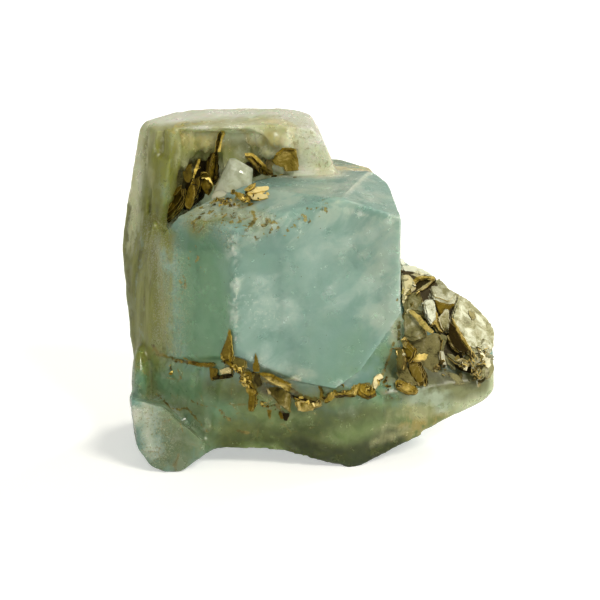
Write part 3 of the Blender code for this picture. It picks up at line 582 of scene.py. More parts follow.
        (10, 1, (-27, -5, 14.9, -20.6, -9.8, 14.2, -14.4, -13.4, 13.7, -7.5, -13.7, 12.9, -1.5, -14, 12)),
        (7, 0.8, (-27.8, -6.7, 10.3, -24.8, -15.5, 8)),
        (8, 1, (-24.8, -15.4, 10.7, -22.2, -15.3, 7.9, -24.9, -15.5, 4.3)),
        (3.5, 0.7, (-21.6, 4.2, 52.7, -18.2, 6.6, 51.6, -13.4, 7.2, 52.3, -8.1, 6.8, 52.8)),
    ),
    # painted light: lightens walls of the hollow and other shaded spots, standing in for light shining
    # through the stone
    "pale": (
        (3, 0.6, (-16.5, 5.2, 55, -14, 4.1, 55.7, -11.7, 7.2, 53.6)),
        (3, 0.8, (0.6, 0.7, 52.8, 2.3, 0.7, 51.9, 3.9, 0.7, 50.6)),
        (3, 0.6, (-1.8, 0.7, 56.3, -1, 0.7, 53.7)),
        (2, 0.5, (-6.7, 5.3, 50.3, -5.7, 4, 49.5)),
        (2.8, 0.75, (-11.3, 6.2, 54.1, -11.7, 6, 52.3)),
        (2.6, 0.85, (-9.6, 1.5, 56.9, -9, 3.2, 56)),
        (2.8, 0.9, (-13, 3.3, 56, -12.3, 5, 55)),
        (2.6, 0.5, (-20.5, 1.8, 56.9, -17.4, 1.2, 57.6)),
        (2.4, 0.95, (-8.9, 6.2, 47.2, -7.5, 5.8, 47.6, -5.5, 3, 49.2)),
        (1.8, 0.6, (-4.2, -14.4, 16.9, -2.2, -16.7, 17.6)),
        (3, 0.55, (-12.1, 10.2, 58.1, -8.2, 10.9, 58.3, -4.1, 9.4, 58.3)),
        (3, 0.45, (-29.3, 4.7, 51.7, -29.3, 3.1, 45.8)),
    ),
    # yellow on old faces; on the hollow's walls it partly stands in for light shining through, as painted
    # light
    "sallow": (
        (3, 0.9, (-26.8, 1.9, 56.9, -27.7, 2.9, 54.9, -28.5, 3.6, 52.5)),
        (1.8, 0.7, (-7, -15.3, 18.4, -5.3, -14.3, 16.9, -2.9, -14.3, 15.4)),
        (2.5, 0.5, (12.5, -11.4, 6.4, 15.1, -10.1, 6.9)),
        (3, 0.5, (14.2, -10.4, 8.5, 17.4, -9.3, 9)),
        (2.5, 0.5, (-19.5, -7.4, 45.5, -17.8, 7.2, 42.8, -14.8, -7, 47.2)),
        (2, 0.5, (-19.7, 5.5, 52.4, -18, 6.8, 51.3)),
        (2, 0.6, (-8.7, 0.7, 57.6, -6.7, 0.7, 57.8, -4.1, 0.7, 57.4)),
        (2.5, 0.8, (18.7, -8.9, 8.8, 21, -8.1, 8.5)),
        (2.2, 0.62, (13.2, -10.8, 4.9, 15.3, -10.1, 5.2, 17.3, -9.4, 6)),
        (1.8, 0.5, (11.1, -11.7, 4.3, 12.9, -11.1, 4.4)),
        (2, 0.8, (-17.4, 6.4, 44.5)),
        (2.2, 0.55, (-27.6, 1.2, 49.9, -27.6, 0.8, 47.9)),
    ),
    "crust": (
        (4, 0.75, (-20.6, -8.3, 44.7, -17.7, -8.6, 45.5, -14.1, -9.7, 46.2, -11, -12.5, 45.9,
            -7.9, -15.6, 45.4)),
        (3.5, 0.85, (19.2, -8.6, 11.5, 21.3, -7.9, 11.1, 23.5, -7.2, 10.1)),
        (2.8, 0.7, (22.4, -7.5, 9.1, 24.4, -6.9, 9.4)),
        (3, 0.4, (5.4, -14.1, 11.1, 7.5, -13.3, 10.9)),
        (1.8, 0.75, (-4.2, -14.4, 16.9, -2.2, -16.7, 17.6)),
    ),
}
TONES = (
    # tone, its darker and lighter shade, how patchy it is
    ("dim", (0.24, 0.43, 0.36), (0.30, 0.49, 0.42), 0.4),
    ("deep", (0.12, 0.30, 0.16), (0.18, 0.38, 0.22), 0.2),
    ("bright", (0.46, 0.60, 0.52), (0.56, 0.69, 0.60), 0.5),
    ("lower", (0.17, 0.33, 0.17), (0.27, 0.44, 0.24), 0.3),
    ("foot", (0.26, 0.34, 0.17), (0.38, 0.46, 0.30), 0.5),
    ("sage", (0.72, 0.76, 0.46), (0.86, 0.90, 0.64), 0.3),
    ("stale", (0.24, 0.26, 0.045), (0.39, 0.42, 0.115), 0.25),
    ("moss_and_shade", (0.07, 0.10, 0.012), (0.12, 0.16, 0.03), 0.1),
    ("glow", (0.20, 0.29, 0.08), (0.32, 0.40, 0.15), 0.1),
    ("silver", (0.82, 0.84, 0.46), (0.94, 0.96, 0.66), 0.2),
    ("olive", (0.12, 0.115, 0.005), (0.30, 0.31, 0.045), 0.8),
    ("veil", (0.38, 0.56, 0.51), (0.55, 0.71, 0.665), 0.6),
    ("frost", (0.48, 0.63, 0.55), (0.74, 0.86, 0.79), 0.9),
    ("white", (0.92, 0.965, 0.77), (0.965, 0.995, 0.89), 0.2),
    ("straw", (0.46, 0.38, 0.09), (0.62, 0.56, 0.24), 1.0),
    ("cream", (0.76, 0.66, 0.32), (0.92, 0.86, 0.58), 0.8),
    ("shade_below", (0.035, 0.048, 0.003), (0.068, 0.085, 0.008), 0.1),
    ("umber_and_shade", (0.045, 0.03, 0.004), (0.12, 0.09, 0.018), 0.8),
    ("matrix", (0.13, 0.125, 0.03), (0.30, 0.31, 0.12), 0.3),
    ("amber", (0.36, 0.25, 0.03), (0.54, 0.43, 0.11), 0.9),
    ("crust", (0.38, 0.46, 0.31), (0.60, 0.68, 0.52), 0.5),
    ("sallow", (0.42, 0.42, 0.19), (0.56, 0.56, 0.29), 0.4),
    ("pale", (0.78, 0.82, 0.58), (0.92, 0.95, 0.78), 0.3),
)


def tint(piece, name, values):
    """Stores one number per vertex for the material to read."""
    layer = piece.data.attributes.new(name, "FLOAT", "POINT")
    layer.data.foreach_set("value", values.astype(np.float32))


places, normals = mesh_places(crystals)
for tone in [tone_name for tone_name, *_ in TONES] + ["film", "grit", "pit", "sparkle", "broken"]:
    tint(crystals, tone, brushed(places, TONE_STROKES[tone]))
tint(crystals, "aged", soft_step(places[:, 1], 0, 16) * (1 - on_top))
rear = soft_step(places[:, 2], 38, 50) * soft_step(places[:, 1], -2, 1)
tint(crystals, "rear", rear * soft_step(-places[:, 0], -6, -2))
tint(crystals, "worn", np.maximum(brushed(places, CHIPPED), 0.8 * brushed(places, PITTED)))
tint(crystals, "striated", on_top + corner)


class Finish:
    """A material being put together node by node."""

    def __init__(self, name):
        self.material = bpy.data.materials.new(name)
        self.material.use_nodes = True
        self.tree = self.material.node_tree
        self.shader = self.tree.nodes["Principled BSDF"]
        coordinates = self.add("ShaderNodeTexCoord")
        self.place = self.mapped(coordinates.outputs["Object"], (1 / MM, 1 / MM, 1 / MM))

    def add(self, kind, inputs=None, **settings):
        node = self.tree.nodes.new(kind)
        for key, value in settings.items():
            setattr(node, key, value)
        for key, value in (inputs or {}).items():
            self.set(node.inputs[key], value)
        return node

    def set(self, socket, value):
        if isinstance(value, bpy.types.NodeSocket):
            self.tree.links.new(value, socket)
        elif isinstance(value, tuple) and len(value) == 3 and socket.type == "RGBA":
            socket.default_value = (*value, 1.0)
        else:
            socket.default_value = value

    def mapped(self, vector, scale, turn=(0, 0, 0)):
        values = {"Vector": vector, "Scale": scale, "Rotation": tuple(math.radians(angle) for angle in turn)}
        return self.add("ShaderNodeMapping", values).outputs["Vector"]

    def noise(self, size, detail=4.0, roughness=0.55, distortion=0.0, stretch=(1, 1, 1), turn=(0, 0, 0)):
        """A cloudy pattern, 0 to 1, whose lumps are about size millimetres across."""
        place = self.mapped(self.mapped(self.place, (1, 1, 1), turn), stretch)
        values = {"Vector": place, "Scale": 1 / size, "Detail": detail, "Roughness": roughness}
        return self.add("ShaderNodeTexNoise", {**values, "Distortion": distortion}).outputs["Fac"]

    def cells(self, size, feature="F1", output="Distance"):
        values = {"Vector": self.place, "Scale": 1 / size}
        return self.add("ShaderNodeTexVoronoi", values, feature=feature).outputs[output]

    def read(self, name):
        return self.add("ShaderNodeAttribute", attribute_name=name).outputs["Fac"]

    def math(self, operation, *values):
        node = self.add("ShaderNodeMath", operation=operation)
        for socket, value in zip(node.inputs, values):
            self.set(socket, value)
        return node.outputs[0]

    def times(self, one, other):
        return self.math("MULTIPLY", one, other)

    def plus(self, one, other):
        return self.math("ADD", one, other)

    def ramp(self, value, low, high, start=0.0, end=1.0):
        values = {"Value": value, "From Min": low, "From Max": high, "To Min": start, "To Max": end}
        return self.add("ShaderNodeMapRange", values, interpolation_type="SMOOTHSTEP").outputs["Result"]

    def blend(self, factor, under, over):
        node = self.add("ShaderNodeMix", data_type="RGBA")
        self.set(node.inputs[0], factor)
        self.set(node.inputs[6], under)
        self.set(node.inputs[7], over)
        return node.outputs[2]

    def bump(self, height, distance):
        values = {"Height": height, "Distance": distance * MM, "Strength": 1.0}
        return self.add("ShaderNodeBump", values).outputs["Normal"]


beryl = Finish("milky_aquamarine")
clouds = beryl.noise(8.0, 6.0, 0.62, 0.3)
wisps = beryl.noise(2.6, 8.0, 0.66, 0.25)
feathers = beryl.noise(3.4, 7.0, 0.6, 0.5, (0.55, 1.0, 1.0), (0, 38, 0))
specks = beryl.noise(0.5, 3.0, 0.6)
grains = beryl.noise(0.22, 2.0, 0.6)
streaks = beryl.noise(1.3, 6.0, 0.66, 0.3, (1.0, 1.0, 0.14))
colour = beryl.blend(beryl.ramp(clouds, 0.35, 0.65), (0.235, 0.42, 0.375), (0.325, 0.515, 0.465))
colour = beryl.blend(beryl.ramp(feathers, 0.42, 0.72, 0.0, 0.45), colour, (0.50, 0.67, 0.62))
# On the back crystal's upper part the colour turns creamy: partly its own colour, partly painted light from
# above.
creamy = beryl.blend(beryl.ramp(wisps, 0.35, 0.65), (0.58, 0.59, 0.32), (0.82, 0.83, 0.60))
colour = beryl.blend(beryl.read("rear"), colour, creamy)
aged = beryl.times(beryl.read("aged"), beryl.ramp(streaks, 0.38, 0.62, 0.3, 1.0))
colour = beryl.blend(aged, colour, beryl.blend(clouds, (0.20, 0.22, 0.08), (0.58, 0.60, 0.38)))
patches = beryl.plus(beryl.times(wisps, 0.55), beryl.times(streaks, 0.45))
# One tone after the other is laid over the stone, each broken up by a pattern that suits it; some of them are
# painted light or shade.
for tone, dark, light, patchiness in TONES:
    pattern = feathers if tone in ("veil", "frost", "bright", "dim") else patches
    gaps = beryl.ramp(pattern, 0.36, 0.62, 1 - patchiness, 1 + patchiness / 2)
    cover = beryl.times(gaps, beryl.read(tone))
    shade = beryl.blend(beryl.ramp(streaks if tone in ("olive", "umber_and_shade") else wisps, 0.35, 0.65), dark, light)
    colour = beryl.blend(beryl.ramp(cover, 0.12, 0.7, 0.0, 0.95), colour, shade)
# Broken ground shows flat planes and fine brown cracks between them.
planes = beryl.ramp(beryl.cells(5.5, output="Color"), 0.25, 0.75)
colour = beryl.blend(beryl.times(beryl.times(planes, beryl.read("broken")), 0.4), colour, (0.10, 0.15, 0.045))
cracks = beryl.ramp(beryl.cells(5.5, "DISTANCE_TO_EDGE"), 0.008, 0.03, 1.0, 0.0)
cracks = beryl.times(beryl.times(cracks, beryl.ramp(wisps, 0.5, 0.58)), beryl.read("broken"))
colour = beryl.blend(beryl.times(cracks, 0.8), colour, (0.32, 0.22, 0.04))
# Then come the grit, bruised edges, dirty pits, the painted glints and glare of the sparkling spots, a few
# dark specks and the films.
grit = beryl.times(beryl.ramp(beryl.read("grit"), 0.0, 0.6), beryl.ramp(grains, 0.52, 0.62))
colour = beryl.blend(beryl.times(grit, 0.6), colour, (0.66, 0.66, 0.42))
rust = beryl.times(beryl.ramp(beryl.read("grit"), 0.0, 0.6), beryl.ramp(specks, 0.56, 0.64))
colour = beryl.blend(beryl.times(rust, 0.5), colour, (0.24, 0.19, 0.05))
worn = beryl.read("worn")
etched = beryl.noise(1.1, 4.0, 0.58, 0.1)
bruised = beryl.ramp(beryl.plus(beryl.times(worn, 0.6), beryl.times(etched, 1.4)), 1.2, 1.32)
colour = beryl.blend(beryl.times(bruised, 0.8), colour, (0.76, 0.86, 0.78))
dirt = beryl.plus(etched, beryl.times(beryl.read("pit"), 0.22))
dirt = beryl.times(beryl.ramp(dirt, 0.66, 0.69), beryl.ramp(beryl.read("pit"), 0.02, 0.2))
dirt_share = beryl.times(dirt, 0.9)
ochre = beryl.blend(beryl.ramp(specks, 0.35, 0.65), (0.14, 0.10, 0.003), (0.52, 0.41, 0.07))
colour = beryl.blend(dirt_share, colour, ochre)
sparkle = beryl.read("sparkle")
# painted glare: a soft white haze in the sparkling spots
haze = beryl.times(beryl.ramp(sparkle, 0.2, 0.9), beryl.ramp(beryl.noise(0.6, 4.0, 0.6, 0.1), 0.56, 0.70))
colour = beryl.blend(beryl.times(haze, 0.5), colour, (0.78, 0.89, 0.85))
# painted glints: tiny white sparkles, mostly in the sparkling spots
glints = beryl.plus(beryl.noise(0.33, 1.0, 0.5), beryl.times(sparkle, 0.3))
glints = beryl.ramp(glints, 0.97, 1.0)
colour = beryl.blend(glints, colour, (0.95, 0.98, 0.94))
spots = beryl.ramp(beryl.noise(0.5, 1.0, 0.5, 0.0, (1.0, 1.0, 1.0), (40, 30, 20)), 0.785, 0.80)
colour = beryl.blend(spots, colour, (0.05, 0.05, 0.03))
film = beryl.plus(beryl.read("film"), beryl.times(beryl.math("SUBTRACT", specks, 0.5), 0.9))
film = beryl.ramp(film, 0.62, 0.76)
gold = beryl.blend(beryl.ramp(wisps, 0.4, 0.6), (0.11, 0.075, 0.005), (0.40, 0.31, 0.065))
colour = beryl.blend(film, colour, gold)
beryl.set(beryl.shader.inputs["Base Color"], colour)
ripples = beryl.noise(0.6, 5.0, 0.65, 0.3, (0.3, 1.0, 1.0))
height = beryl.plus(beryl.times(specks, 0.12), beryl.times(clouds, 1.5))
silk = beryl.times(ripples, beryl.read("striated"))
height = beryl.plus(height, beryl.times(silk, 3.0))
height = beryl.plus(height, beryl.times(beryl.times(specks, beryl.read("grit")), 1.5))
height = beryl.math("SUBTRACT", height, beryl.times(dirt, 1.5))
beryl.set(beryl.shader.inputs["Normal"], beryl.bump(height, 0.12))
gloss = beryl.ramp(wisps, 0.3, 0.7, 0.12, 0.3)
earthy = beryl.plus(beryl.read("olive"), beryl.read("matrix"))
beryl.set(beryl.shader.inputs["Roughness"], beryl.plus(gloss, beryl.times(earthy, 0.25)))
beryl.shader.inputs["Specular IOR Level"].default_value = 0.26
beryl.shader.inputs["Coat Weight"].default_value = 0.12
beryl.shader.inputs["Coat Roughness"].default_value = 0.2
beryl.shader.inputs["IOR"].default_value = 1.58
beryl.shader.inputs["Subsurface Weight"].default_value = 0.9
beryl.shader.inputs["Subsurface Radius"].default_value = (0.8, 1.0, 0.9)
beryl.shader.inputs["Subsurface Scale"].default_value = 2.5 * MM
beryl.shader.inputs["Transmission Weight"].default_value = 0.45
crystals.data.materials.clear()
crystals.data.materials.append(beryl.material)
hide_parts("aquamarine")
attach(crystals, "root")

# ---------------------------------------------------------------- mica fan
# Books of muscovite standing fanwise on the wing: stacks of thin, springy, ragged leaves with a pearly
# silver face and golden-brown edges, grown onto the beryl, with a tangle of small flakes at their foot.
LEAF_THICK = 0.22
LEAF_GAP = 0.25  # share of a leaf's room that is air
LEAF_SLIDE = 0.09
LEAF_BEND = 0.012
RAG_STEP = 0.45
RAG_DEPTH = 0.08
SHADE_SCATTER = 0.08
EDGE_FLATNESS = 0.6  # a face that looks away from the leaf's own way by more than this is its edge
FLAKE_CORNERS = 6
FLAKE_THICKNESSES = (0.12, 0.2, 0.45)
FLAKE_LIFT = 0.08
# Each book: its shade from dark to silvery, how golden it is, its thickness, the Y of its front face's
# middle, the way that face looks, and the face's outline as x, z of one corner after another.
MICA_FAN = {
    "matrix": (0, 0.8, 1.6, 0.8, (0.15, -0.8, 0.58), (16.6, 30.4, 21.1, 29.3, 25.3, 26.2, 27.9, 23.4,
        30.5, 20.3, 32.3, 18.7, 32.4, 15.3, 29.9, 13.9, 25.9, 13.2, 20.7, 13.1, 16.6, 14.3)),
    "inner wall": (0.7, 0.45, 0.8, 5.6, (-0.1, -0.91, 0.4), (16.7, 29.3, 19.5, 29.4, 21, 28.9, 20.3, 26.7,
        19, 26.2, 17, 24.6, 16.7, 24.6)),
    "right plate": (0.52, 0.12, 3.6, 0.7, (0.42, -0.5, 0.76), (26.2, 24.8, 27.1, 25.9, 28.4, 25.1, 30.2, 23.8,
        32.2, 22, 33, 20.6, 33.1, 19.3, 32.7, 18, 31.1, 17.7, 29.5, 18, 28.6, 18.4, 26.9, 20.8, 25.7, 22.4,
        25.4, 23.4)),
    "plate patch": (0.3, 0.08, 0.4, 0.1, (0.42, -0.5, 0.76), (26.3, 24.5, 27.6, 24.3, 28.3, 22.9, 29.1, 20.9,
        29.7, 18.5, 28.8, 18.3, 27.6, 20.3, 25.9, 22.3, 25.5, 23.3)),
    "plate stain": (0.32, 0.4, 0.3, -0.1, (0.42, -0.5, 0.76), (28.3, 24.6, 29.3, 24.2, 29.6, 23.5, 28.9, 23.3,
        28.3, 24)),
    "plate corner": (0.52, 0.1, 0.4, 0.2, (0.42, -0.5, 0.76), (30.9, 21.8, 32.5, 21.1, 33, 19.9, 32.7, 18.2,
        31.1, 17.7, 29.9, 18.5, 29.9, 19.9, 31, 20.6)),
    "lower matrix": (0.04, 0.55, 1.4, -3.7, (0.1, -0.86, 0.5), (23, 20.8, 25, 21.2, 29, 17.3, 32.3, 16.1,
        32.5, 14.7, 30.2, 13, 26.7, 12.5, 22.7, 12.6, 18.9, 12.6, 18.7, 14.4, 23, 16.2)),
    "upper plate": (0.74, 0.15, 1.4, 4.4, (0.12, -0.42, 0.9), (22.1, 25.9, 21.5, 27.2, 22.7, 28, 23.4, 28.2,
        24.4, 27.5, 25.3, 26.7, 26.3, 26.3, 26.1, 25.5, 25.3, 25.1, 24.6, 25.2, 23.3, 25.6)),
    # a brown book under the upper plate: partly its brown mica, partly painted shade of the plate's underside
    "brown underside": (0.32, 1, 1, 0.9, (-0.11, -0.97, 0.22), (22.1, 26.2, 23.5, 25.7, 24.6, 25.5,
        25.8, 25.6, 25, 24.8, 24.2, 24, 23.3, 23.5, 23, 24, 22.5, 25.3)),
    "dark lens": (0.05, 0.8, 1.6, 5, (-0.25, -0.8, 0.55), (18.2, 27.9, 19.2, 29, 21, 29.3, 22.6, 29.1,
        21.4, 27.9, 20.1, 26.9, 19.1, 26.9, 18.7, 27.5)),
    "lens rim": (0.75, 1, 0.5, 4.6, (-0.2, -0.69, 0.69), (18.2, 28.2, 18.6, 28.8, 19.5, 29.4, 21, 29.6,
        22.6, 29.5, 22.4, 29.2, 21, 29.3, 19.6, 29, 18.9, 28.4, 18.9, 27.9)),
    "thin blade": (0.75, 0.7, 0.5, 4.2, (-0.3, -0.6, 0.75), (19.3, 27.1, 20.3, 27.3, 21.4, 28.1, 22.6, 29.2,
        21.3, 28.4, 20.1, 27.6)),
    "silvery rim": (0.85, 0.12, 2, 7.4, (0.15, -0.6, 0.78), (16.6, 30, 16.7, 30.4, 17.6, 30.5, 19.3, 30.3,
        21.1, 29.5, 22.6, 28.7, 21.1, 28.9, 19.3, 28.9, 18.1, 29.2, 17, 29.7)),
    "ice flake": (0.95, 0.05, 0.6, 7.2, (0.11, -0.84, 0.53), (16.6, 31.8, 17, 31.5, 17.4, 30.9, 16.8, 30.7,
        16.5, 31.1)),
    "inner rim": (0.9, 0.3, 0.7, 6.9, (0, -0.85, 0.53), (17.9, 29.4, 19.3, 29.6, 20.6, 29.2, 21.1, 29,
        19.3, 28.9, 18.3, 29)),
    "white column": (0.85, 0.55, 1.6, 3.4, (-0.1, -0.88, 0.47), (16.6, 29.9, 17.8, 29.8, 18.6, 29, 18.9, 27.8,
        18.1, 27.2, 17.3, 26.2, 16.9, 25.3, 16.6, 25.2)),
    "plate behind": (0.42, 0.35, 1.8, 1.8, (-0.2, -0.76, 0.61), (17.6, 26.8, 19.1, 27.2, 20, 26.5, 20.3, 25.2,
        20.2, 23.8, 18.6, 24, 16.9, 24, 16.9, 25.7)),
    "left slab": (0.66, 0.1, 1.2, -0.6, (0.3, -0.85, 0.42), (20.2, 26.2, 20.9, 26.6, 21.9, 26.5, 22.3, 25.6,
        22.5, 24.4, 22.5, 23.2, 21.6, 22.5, 20.8, 23.7, 20.4, 25)),
    "left slab lip": (0.55, 0.8, 1.6, -0.2, (0.3, -0.81, 0.51), (22, 26.2, 22.3, 25.3, 22.9, 23.9, 23.5, 22.5,
        24.1, 21, 23.9, 20.7, 23, 21.2, 22.4, 22.3, 21.7, 22.2, 22.5, 23, 22.3, 24.5)),
    "middle slab": (0.6, 0.25, 1.6, -0.5, (0.4, -0.8, 0.45), (23.2, 23.5, 24, 24.2, 24.6, 24.9, 25.1, 24.5,
        25.1, 23.3, 25.6, 21.9, 25.7, 20.8, 24.6, 20.8, 23.9, 21.5, 23.5, 22.3)),
    "golden side": (0.42, 1, 1, -2.7, (-0.35, -0.9, 0.25), (25.3, 23.6, 25.8, 22.7, 27.1, 20.7, 28.9, 18.2,
        28.6, 17.9, 27.5, 19, 26.5, 20.7, 25.6, 22.2)),
    # a dark brown book beside the right plate's layered edge, partly painted shade of that edge
    "dark side": (0.06, 1, 0.5, -3.3, (-0.35, -0.9, 0.25), (24.9, 23, 25.6, 22.4, 26.4, 20.9, 27.5, 19.2,
        28.5, 18.1, 26.6, 18.3, 25.5, 19.4, 24.7, 20.7)),
    "amber line": (0.8, 1, 0.3, -3, (-0.35, -0.9, 0.25), (25.3, 23.7, 25.5, 23.6, 26.7, 21.6, 28, 19.8,
        29.1, 18.1, 28.9, 18, 27.5, 19.7, 26.3, 21.5)),
    "upper face": (0.34, 0.3, 1.4, -3.9, (-0.2, -0.87, 0.46), (16.6, 24.6, 17.8, 25.3, 18.7, 24.3, 20.4, 22.5,
        20.6, 21.5, 18.9, 20.8, 17.8, 20.7, 16.7, 21.1)),
    "face-on plate": (0.4, 0.3, 2.2, -4.3, (-0.08, -0.93, 0.36), (16.7, 20.6, 18.1, 20.6, 20.7, 20.9,
        21.9, 21.5, 23, 21.3, 23.2, 19.5, 23.2, 17.5, 22.9, 15.4, 22.2, 14.4, 20.7, 14, 19.6, 15.3,
        18.7, 16.5, 17.6, 16.4, 17, 17.5)),
    "gold rim blade": (0.8, 1, 0.6, -4.6, (-0.3, -0.86, 0.41), (17.6, 25.5, 18.5, 25.6, 19.1, 25.2,
        20.2, 24.2, 21.8, 22.7, 21.6, 22.3, 20.7, 22.8, 19.4, 24, 18.7, 24.7)),
    "brown books": (0.38, 1, 1.6, -7.2, (-0.45, -0.8, 0.4), (16.4, 21.7, 17, 20.8, 17.8, 20.2, 18.4, 19.8,
        17.9, 18.5, 17.4, 17.7, 16.8, 17.8, 16.2, 19.5)),
    "green books": (0.5, 0.6, 1.6, -8.7, (-0.45, -0.8, 0.4), (15.1, 20.2, 16.1, 20.3, 16.6, 18.6, 16.2, 17,
        15.4, 18)),
    "olive books": (0.2, 0.9, 2.2, -8, (-0.36, -0.86, 0.36), (17.3, 17.1, 18.7, 17.6, 19.9, 15.8, 20.1, 14,
        19.2, 13.7, 17.9, 15.1)),
    "pale skirt": (0.45, 0.4, 1.2, -8.9, (-0.21, -0.88, 0.42), (15.4, 17.6, 16.6, 17.7, 17.7, 15.8, 19, 14.2,
        17.7, 14.1, 15.5, 14.8)),
    "gold plate": (0.7, 1, 0.8, -7.5, (0.1, -0.6, 0.8), (18.3, 18.3, 19.2, 19, 20.8, 18.8, 20.4, 18.3,
        19.2, 18.1)),
    "amber foot": (0.4, 1, 1.8, -10, (-0.1, -0.8, 0.6), (15, 14.4, 15.5, 14.9, 17.7, 14.4, 19, 13.7,
        18.5, 13.2, 17.2, 13.1, 15.3, 13.7)),
    "long lath": (0.8, 0.4, 0.9, -2.5, (0.56, -0.66, 0.51), (24.7, 20.8, 25.5, 20.3, 26.7, 18.7, 27.5, 17.6,
        26.7, 17.9, 25.4, 19.6)),
    "second lath": (0.6, 0.7, 0.7, -2.9, (0.42, -0.74, 0.53), (24.5, 20.7, 24.8, 20.7, 25.8, 19.2, 26.7, 17.9,
        26.4, 17.9, 25.4, 19)),
    "short lath": (0.75, 0.2, 0.8, -5.2, (0.51, -0.81, 0.3), (23.1, 18.9, 23.6, 18.8, 24, 17.6, 24.2, 16.1,
        23.9, 16.1, 23.3, 17.5)),
    "steep lath": (0.42, 0.2, 0.6, -3.6, (0.62, -0.72, 0.31), (23.1, 21.1, 24, 21, 24.5, 20.5, 24, 19,
        23.8, 18.1, 23.4, 18.8, 23.8, 20.1)),
    "grey lath": (0.45, 0.1, 0.6, -4.4, (0.41, -0.82, 0.41), (24, 17.7, 24.9, 17.4, 25.8, 15.7, 25.9, 15.1,
        25.1, 15.8, 24.3, 16.7)),
    "cross lath": (0.6, 0.2, 0.7, -4.9, (0.2, -0.5, 0.84), (24.4, 18, 25.4, 17.8, 26.6, 17.1, 28.1, 16.5,
        27.5, 16.4, 25.7, 17)),
    "upper flake": (0.5, 0.2, 0.7, -4.2, (0.21, -0.52, 0.83), (27.5, 17.6, 29.8, 17.7, 30.4, 17.3, 30.2, 16.9,
        27.9, 17)),
    "end flake": (0.85, 0.3, 0.8, -4.4, (0.42, -0.74, 0.53), (30.7, 17.5, 32.1, 17.1, 32.2, 16, 31.6, 15.6,
        30.5, 16.6)),
    "grey plate": (0.35, 0.2, 1.6, -5.6, (0.1, -0.8, 0.6), (20.7, 14.1, 22.2, 14.3, 22.9, 15.4, 24.9, 15,
        26.7, 14.3, 27.5, 13.2, 26.6, 12.9, 23.3, 12.9)),
    "backing": (0.62, 0.2, 1, 6.2, (0.1, -0.91, 0.4), (22.2, 28.2, 24.2, 27.1, 25.3, 26.3, 26.7, 25.6,
        28, 24.9, 29.4, 24, 27.6, 23.8, 26.2, 24.2, 23.8, 26)),
    "end plate": (0.6, 0.1, 0.8, -4.8, (0.35, -0.75, 0.55), (28.8, 17.2, 30.6, 17.4, 32.2, 16.8, 32.8, 15.2,
        32.1, 14, 30.3, 14, 29.1, 15.1)),
}

# Each crowd of loose flakes: their number, how far they stray, smallest and largest radius, range of shade,
# range of gold, and the path along which they lie.
FAN_CROWDS = (
    (70, 0.85, (0.35, 0.95), (0.1, 0.9), (0.1, 0.7), (26.8, -5, 17.4, 29, -5.5, 16.4, 30.6, -5.5, 15.6)),
    (26, 0.6, (0.3, 0.8), (0.2, 1), (0, 0.6), (28.6, -5.5, 14.9, 30.2, -5.8, 14.2, 29.2, -6, 13.4)),
    (16, 0.6, (0.35, 0.9), (0.6, 1), (0, 0.4), (30.8, -3, 17.6, 31.8, -3, 18.8, 31.6, -3, 16.4)),
    (30, 0.5, (0.25, 0.7), (0.1, 0.8), (0.7, 1), (15.6, -9.6, 14.2, 17.6, -9.4, 13.5, 20.6, -8.6, 13.6)),
    (22, 0.8, (0.3, 0.8), (0.3, 0.9), (0.2, 0.9), (17, -2, 25.4, 17.4, 1, 27.4, 17.2, 3, 29)),
    (18, 0.9, (0.3, 0.8), (0.1, 0.6), (0.3, 1), (20.6, -5, 15.6, 23.4, -5, 15.4, 25.4, -5, 15.6)),
    (16, 0.7, (0.3, 0.8), (0.3, 0.9), (0.4, 1), (16, -7, 22.5, 16.6, -7, 20, 16.4, -8, 17.6)),
)


def ragged(corners, outward, dice):
    """The outline's corners with uneven points between them, as torn mica has."""
    rim = []
    for start, end in zip(corners, corners[1:] + corners[:1]):
        run = end - start
        aside = run.cross(outward).normalized()
        count = max(1, round(run.length / (RAG_STEP * MM)))
        for step in range(count):
            jag = dice.gauss(0, RAG_DEPTH) if step else dice.gauss(0, 0.4 * RAG_DEPTH)
            share = (step + dice.uniform(-0.2, 0.2) * (step > 0)) / count
            rim.append(start + run * share + aside * jag * MM)
    return rim


